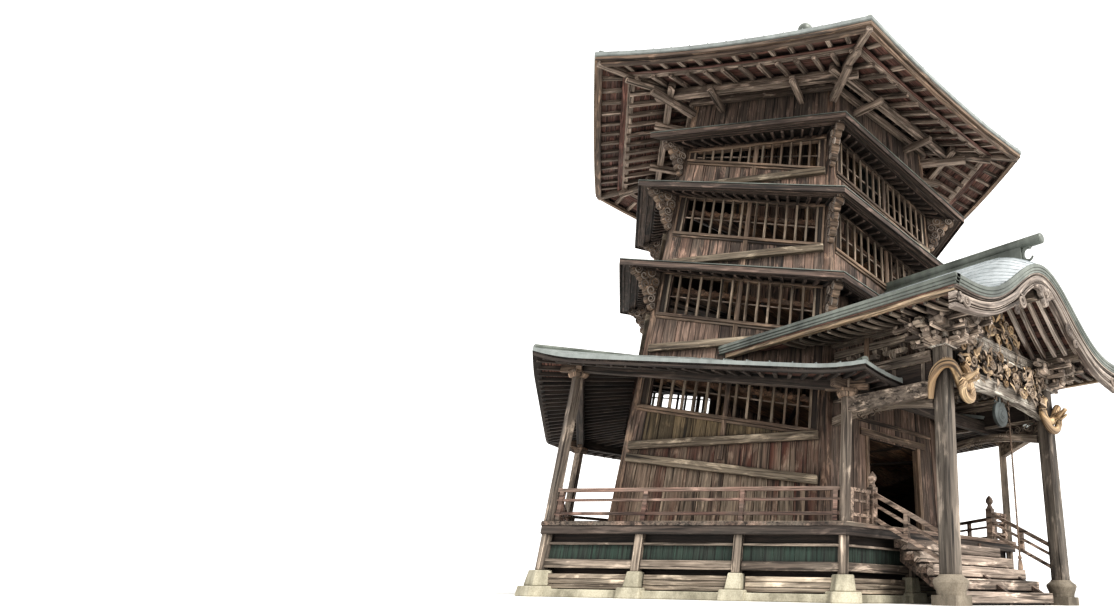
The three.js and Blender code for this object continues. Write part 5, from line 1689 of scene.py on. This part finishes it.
def dragon_head(pile, base, ahead):
    across = ahead.cross(Z).normalized()
    up = across.cross(ahead)

    def at(far, out, rise):
        return base + ahead * far + across * out + up * rise
    pile.sweep([circle(at(far, 0, 0.02), across * wide, up * tall, 12) for far, wide, tall in SKULL])
    pile.sweep([circle(at(far, 0, drop), across * wide, up * 0.014, 8) for far, wide, drop in JAW])
    for sign in (-1, 1):
        rings = []
        for tilt in evenly(-math.pi / 2, math.pi / 2, 5):
            wide = EYE_RADIUS * math.cos(tilt)
            rings.append(circle(at(0.12, sign * 0.06, 0.075 + EYE_RADIUS * math.sin(tilt)), across * wide,
                                ahead * wide, 8))
        pile.sweep(rings)
        horn = [at(0.06 - 0.09 * t, sign * (0.045 + 0.03 * t), 0.09 + 0.06 * t - 0.03 * t * t)
                for t in (0, 0.5, 1.0, 1.5)]
        body(pile, horn, lambda part: mix(0.016, 0.004, part), 6)
        whisker = [at(0.24 - 0.1 * t, sign * (0.05 + 0.06 * math.sin(t * 1.6)), -0.02 - 0.05 * t)
                   for t in (0, 0.4, 0.8, 1.2, 1.6)]
        body(pile, whisker, lambda part: mix(0.009, 0.003, part), 5)
        # Mane of flame-like locks
        for turn in LOCK_TURNS:
            out, rise = sign * math.cos(turn), math.sin(turn)
            lock = [at(0.02 - 0.07 * t, out * (0.06 + 0.05 * t),
                       rise * (0.05 + 0.06 * t) + 0.02 * math.sin(t * 3))
                    for t in (0, 0.5, 1.0, 1.5)]
            body(pile, lock, lambda part: mix(0.022, 0.004, part), 6)


# Carvings over the porch's front

TRANSOM = (3.66, 4.24)
TRANSOM_PIECES = 230
TRANSOM_FLOWERS = (-0.98, 0.0, 0.98)
GABLE_PIECES = 46
# Sections of a leaf, as (along it, share of its width, height)
LEAF_SECTIONS = ((0.0, 0.25, 0.0), (0.3, 0.9, 0.16), (0.6, 0.85, 0.22), (0.85, 0.4, 0.12), (1.0, 0.06, -0.05))
STRUT_OUTLINE = ((0.3, 0.0), (0.95, 0.0), (0.88, 0.07), (0.72, 0.1), (0.62, 0.2), (0.5, 0.3), (0.36, 0.44),
                 (0.22, 0.52), (0.12, 0.6), (0.0, 0.62), (0.0, 0.54), (0.12, 0.46), (0.24, 0.32),
                 (0.34, 0.14))
KEY_STEP = 0.15
# Bars of one key, as (start, end, bottom, top)
KEY_BARS = ((0, 0.14, 4.26, 4.275), (0, 0.14, 4.405, 4.42), (0, 0.014, 4.26, 4.42),
            (0.05, 0.064, 4.31, 4.42), (0.05, 0.11, 4.31, 4.324))
# Scrolls on the rainbow beam, as (from the middle, height, radius)
BEAM_SCROLLS = ((1.45, 3.55, 0.12), (1.22, 3.6, 0.09), (1.02, 3.62, 0.07))
BEAM_CLOUDS = 8


def leaf(pile, base, ahead, normal, length, width):
    """A pointed leaf with a raised middle"""
    ahead, normal = ahead.normalized(), normal.normalized()
    across = ahead.cross(normal).normalized()
    rings = []
    for part, wide, lift in LEAF_SECTIONS:
        centre = base + ahead * (length * part) + normal * (lift * width)
        half = width / 2 * wide
        rings.append([centre - across * half, centre + normal * (0.28 * half), centre + across * half,
                      centre - normal * (0.1 * half + 0.004)])
    pile.sweep(rings)


def loose_leaf(pile, centre, longest):
    """A leaf that points anywhere across a carving"""
    turn = random.uniform(0, 2 * math.pi)
    ahead = Vector((math.cos(turn), -random.uniform(0.05, 0.5), math.sin(turn)))
    leaf(pile, centre, ahead, Vector((0, -1, 0.2)), random.uniform(0.12, longest), random.uniform(0.06, 0.1))


def make_transom():
    """Dense carving of scrolls, flowers and leaves between the capitals"""
    ground, carving, light = (Pile() for _ in range(3))
    low, high = TRANSOM
    front = COLUMN_Y - 0.09
    ground.block((-1.5, COLUMN_Y - 0.05, 3.72), (1.5, COLUMN_Y + 0.03, 4.198))
    for _ in range(TRANSOM_PIECES):
        x = random.uniform(-1.5, 1.5)
        z = random.uniform(low - 0.05 * abs(x), high)
        centre = Vector((x, front - random.uniform(0.0, 0.13), z))
        kind = random.random()
        # About a fifth of the pieces, picked at random, take the bright carved wood as painted highlights;
        # the rest take the darker
        pile = light if random.random() < 0.22 else carving
        if kind < 0.35:
            radius, start = random.uniform(0.06, 0.12), random.uniform(0, 6.3)
            spiral(pile, facing(*centre, random.choice((-1, 1))), radius, 0.026, 1.4, 6, 14, start)
        else:
            loose_leaf(pile, centre, 0.24)
    for x in TRANSOM_FLOWERS:
        for layer, count in ((0.11, 8), (0.065, 6)):
            for turn in (turn + layer * 10 for turn in full_turn(count)):
                leaf(light, Vector((x, front - 0.07 - (0.13 - layer) * 0.4, 3.98)),
                     Vector((math.cos(turn), -0.35, math.sin(turn))), -Y, layer, layer * 0.6)
    ground.build("transom_ground", "dark", 0.004, slot="dark_wood", stands_for=("carved_transom",))
    carving.build("transom_carving", "gold_dark", 0, smooth=True, slot="carved_wood")
    light.build("transom_flowers_and_painted_highlights", "gold", 0, smooth=True, slot="carved_wood")


def make_gable_carving():
    """Openwork of scrolls and leaves that stands on the upper beam, and struts beside it"""
    gilt, carving, struts = (Pile() for _ in range(3))
    for _ in range(GABLE_PIECES):
        x = random.uniform(-0.6, 0.6)
        rise = 0.5 * math.cos(math.pi * x / 1.5)
        centre = Vector((x, COLUMN_Y - random.uniform(0.08, 0.2), 4.52 + rise * random.uniform(0.1, 1.0)))
        pile = gilt if random.random() < 0.55 else carving
        if random.random() < 0.45:
            start, flip = random.uniform(0, 6.3), random.choice((-1, 1))
            spiral(pile, facing(*centre, flip), random.uniform(0.06, 0.11), 0.026, 1.4, 6, 14, start)
        else:
            loose_leaf(pile, centre, 0.22)
    for side in (-1, 1):
        struts.sweep([[Vector((side * x, y, 4.48 + z)) for x, z in STRUT_OUTLINE]
                      for y in (COLUMN_Y - 0.05, COLUMN_Y + 0.05)])
    struts.bar((0, -6.9, 5.32), (0, -3.3, 5.44), 0.2, 0.22)
    stepped_block(struts, (0, COLUMN_Y, 5.08), 0.28, 0.12)
    gilt.build("gable_scrolls", "gold", 0, smooth=True, slot="carved_wood")
    carving.build("gable_leaves", "gold_dark", 0, smooth=True, slot="carved_wood")
    struts.build("gable_struts", "old", 0.01, slot="grey_wood")


def make_beam_carving():
    """Key pattern along the upper beam, scrolls on the rainbow beam and clouds on the side beams"""
    keys, curls, clouds = (Pile() for _ in range(3))
    y = COLUMN_Y - 0.115
    for x in steps(-1.7, 1.71, KEY_STEP):
        for start, end, low, high in KEY_BARS:
            keys.block((x + start, y, low), (x + end, y + 0.02, high))
    for side in (-1, 1):
        for far, up, radius in BEAM_SCROLLS:
            spiral(curls, facing(side * far, COLUMN_Y - 0.097, up, side, 0.6), radius, 0.014, 1.6, 6, 20)
    for side in (-1, 1):
        for i in range(BEAM_CLOUDS):
            part = (i + 0.5) / BEAM_CLOUDS
            y, z = mix(COLUMN_Y + 0.3, -shaft(3.1) * FACE_COS - 0.6, part), mix(3.3, 3.05, part)
            for face in (-1, 1):
                def at(a, b, lift):
                    return Vector((side * COLUMN_X + face * (0.066 + lift * 0.6), y + a, z + b))
                spiral(clouds, at, 0.075 if i % 2 else 0.1, 0.012, 1.4, 6, 14, i)
    keys.build("beam_keys", "pale", 0.002, slot="grey_wood")
    curls.build("beam_scrolls", "pale", 0, smooth=True, slot="grey_wood")
    clouds.build("side_beam_clouds", "old", 0, smooth=True, slot="grey_wood")


# Rope, gong, steps and doors

ROPE_X = 0.33
ROPE_RADIUS = 0.018
RAINBOW_UNDER = (3.36, 3.49)
ROPE_ROUTE = (2.6, 1.7, 0.68)
STRAND_PITCH = 0.11
STRAND_OUT = 0.0088
STRAND_RADIUS = 0.0092
TASSEL_PROFILE = ((0.004, 0.78), (0.024, 0.775), (0.034, 0.75), (0.03, 0.725), (0.022, 0.712), (0.03, 0.7),
                  (0.036, 0.66), (0.042, 0.6), (0.045, 0.555), (0.03, 0.55), (0.004, 0.553))
GONG_PROFILE = ((0.226, 0.012), (0.226, 0.03), (0.205, 0.034), (0.198, 0.024), (0.165, 0.044),
                (0.155, 0.058), (0.14, 0.06), (0.1, 0.058), (0.09, 0.066), (0.07, 0.068), (0.055, 0.06),
                (0.05, 0.07), (0.002, 0.074))
GONG_HEIGHT = 3.16
GONG_LOOP = (0.13, 3.355)


def rope_top():
    """Underside of the rainbow beam, which is made of straight stretches, over the rope"""
    stretch = (COLUMN_X - COLUMN / 2 - 0.0003) / 4
    next_height = mix(*RAINBOW_UNDER, math.cos(math.pi / 8))
    return mix(RAINBOW_UNDER[1], next_height, (ROPE_X + ROPE_RADIUS) / stretch) - 0.0003


def make_rope():
    strands, knot = Pile(), Pile()
    top, foot = rope_top(), ROPE_ROUTE[-1]
    length = top - foot
    count = round(length / STRAND_PITCH * 10)
    spin = 2 * math.pi * length / STRAND_PITCH
    for strand in range(3):
        rings = []
        for part in evenly(0, 1, count):
            turn = spin * part + 2 * math.pi * strand / 3
            centre = Vector((ROPE_X + STRAND_OUT * math.cos(turn), COLUMN_Y + STRAND_OUT * math.sin(turn),
                             mix(top, foot, part)))
            rings.append(circle(centre, X * STRAND_RADIUS, Y * STRAND_RADIUS, 6))
        strands.sweep(rings)
    rope = strands.build("bell_rope_strands", "rope", 0, smooth=True, slot="rope", stands_for=("bell_rope",))
    # Knot and tassel on its end
    knot.sweep([[Vector((ROPE_X, COLUMN_Y, 0))
                 + polar(radius * (1 + 0.1 * math.cos(math.radians(8 * turn))), turn, z)
                 for turn in range(0, 360, 18)] for radius, z in TASSEL_PROFILE])
    tassel = knot.build("rope_tassel", "rope", 0, smooth=True, slot="rope")
    path = [(ROPE_X, COLUMN_Y, mix(top, foot, i / 60)) for i in range(61)]


def make_gong():
    relief, straps = Pile(), Pile()
    for face in (-1, 1):
        relief.sweep([circle(Vector((0, COLUMN_Y + face * lift, GONG_HEIGHT)), X * radius, Z * radius, 36)
                      for radius, lift in GONG_PROFILE])
    for side in (-1, 1):
        x, z = side * GONG_LOOP[0], GONG_LOOP[1]
        rings = []
        for turn in evenly(0, math.pi, 8):
            out = Vector((math.cos(turn), 0, math.sin(turn)))
            rings.append(circle(Vector((x + 0.04 * out.x, COLUMN_Y, z + 0.05 * out.z)), out * 0.013,
                                Y * 0.013, 8))
        relief.sweep(rings)
        straps.bar((x, COLUMN_Y, z + 0.035), (side * 0.1, COLUMN_Y, 3.5), 0.012, 0.03, up=Y)
    relief.build("gong_rings", "bronze", 0, smooth=True, slot="bronze")
    straps.build("gong_straps", "rope", 0, slot="rope")


STEPS = 6
STEP_RUN = 0.255
STAIR_HALF = 1.48
STAIR_TOP_Y = -DECK_RADIUS * FACE_COS - 0.0003


def make_steps():
    """Thick worn timbers on the treads, with dark boards behind them"""
    boards, risers = Pile(), Pile()
    rise = DECK / STEPS
    wide = STAIR_HALF + 0.01
    for step in range(1, STEPS):
        top = rise * (STEPS - step)
        front = STAIR_TOP_Y - step * STEP_RUN - 0.03
        crown = top + random.uniform(0.003, 0.006)
        boards.block((-wide, front - 0.01, top - rise + 0.03), (wide, front + 0.13, crown))
        boards.block((-wide, front + 0.136, top - 0.045), (wide, front + STEP_RUN + 0.02, crown))
        risers.block((0.02 - STAIR_HALF, front + 0.04, top - rise),
                     (STAIR_HALF - 0.02, front + 0.1, top - 0.05))
    boards.build("tread_boards", "nosing", 0.012, slot="grey_wood")
    risers.build("stair_risers", "dark", 0.004, slot="dark_wood")


# Level timbers of a door's frame: half length, middle, width, back and front
DOOR_TIMBERS = ((1.05, 3.0, 0.14, -0.12, 0.045), (1.3, 3.24, 0.09, -0.02, 0.035),
                (0.8, DECK + 0.035, 0.06, -0.12, 0.03))


def make_doors():
    frames, posts = Pile(), Pile()
    for face, name in enumerate(SIDES):
        if name in DOOR_SIDES:
            for s in (-0.84, 0.84):
                upright(frames, face, s, 0.1, level_at(DECK), level_at(2.97), -0.12, 0.03)
            for half, middle, width, out0, out1 in DOOR_TIMBERS:
                slanted(frames, face, -half, half, level_at(middle), width, out0, out1)
    for side in (-1, 1):
        posts.post(side * COLUMN_X, -4.3, 0, 0.13, 3.62, 4.5)
    frames.build("door_frames", "brown", 0.008, slot="grey_wood")
    posts.build("porch_short_posts", "brown", 0.008, slot="grey_wood")


for make in (make_rope, make_walls, make_windows, make_eaves, make_noses, make_main_roof, make_finial,
             make_roof_underside, make_skirt, make_veranda_heads, make_stones, make_underfloor, make_deck,
             make_inside, make_porch_roof, make_porch_underside, make_bargeboard, make_ridge, make_brackets,
             make_side_frames, make_dragons, make_transom, make_gable_carving, make_beam_carving, make_gong,
             make_doors, make_steps):
    make()
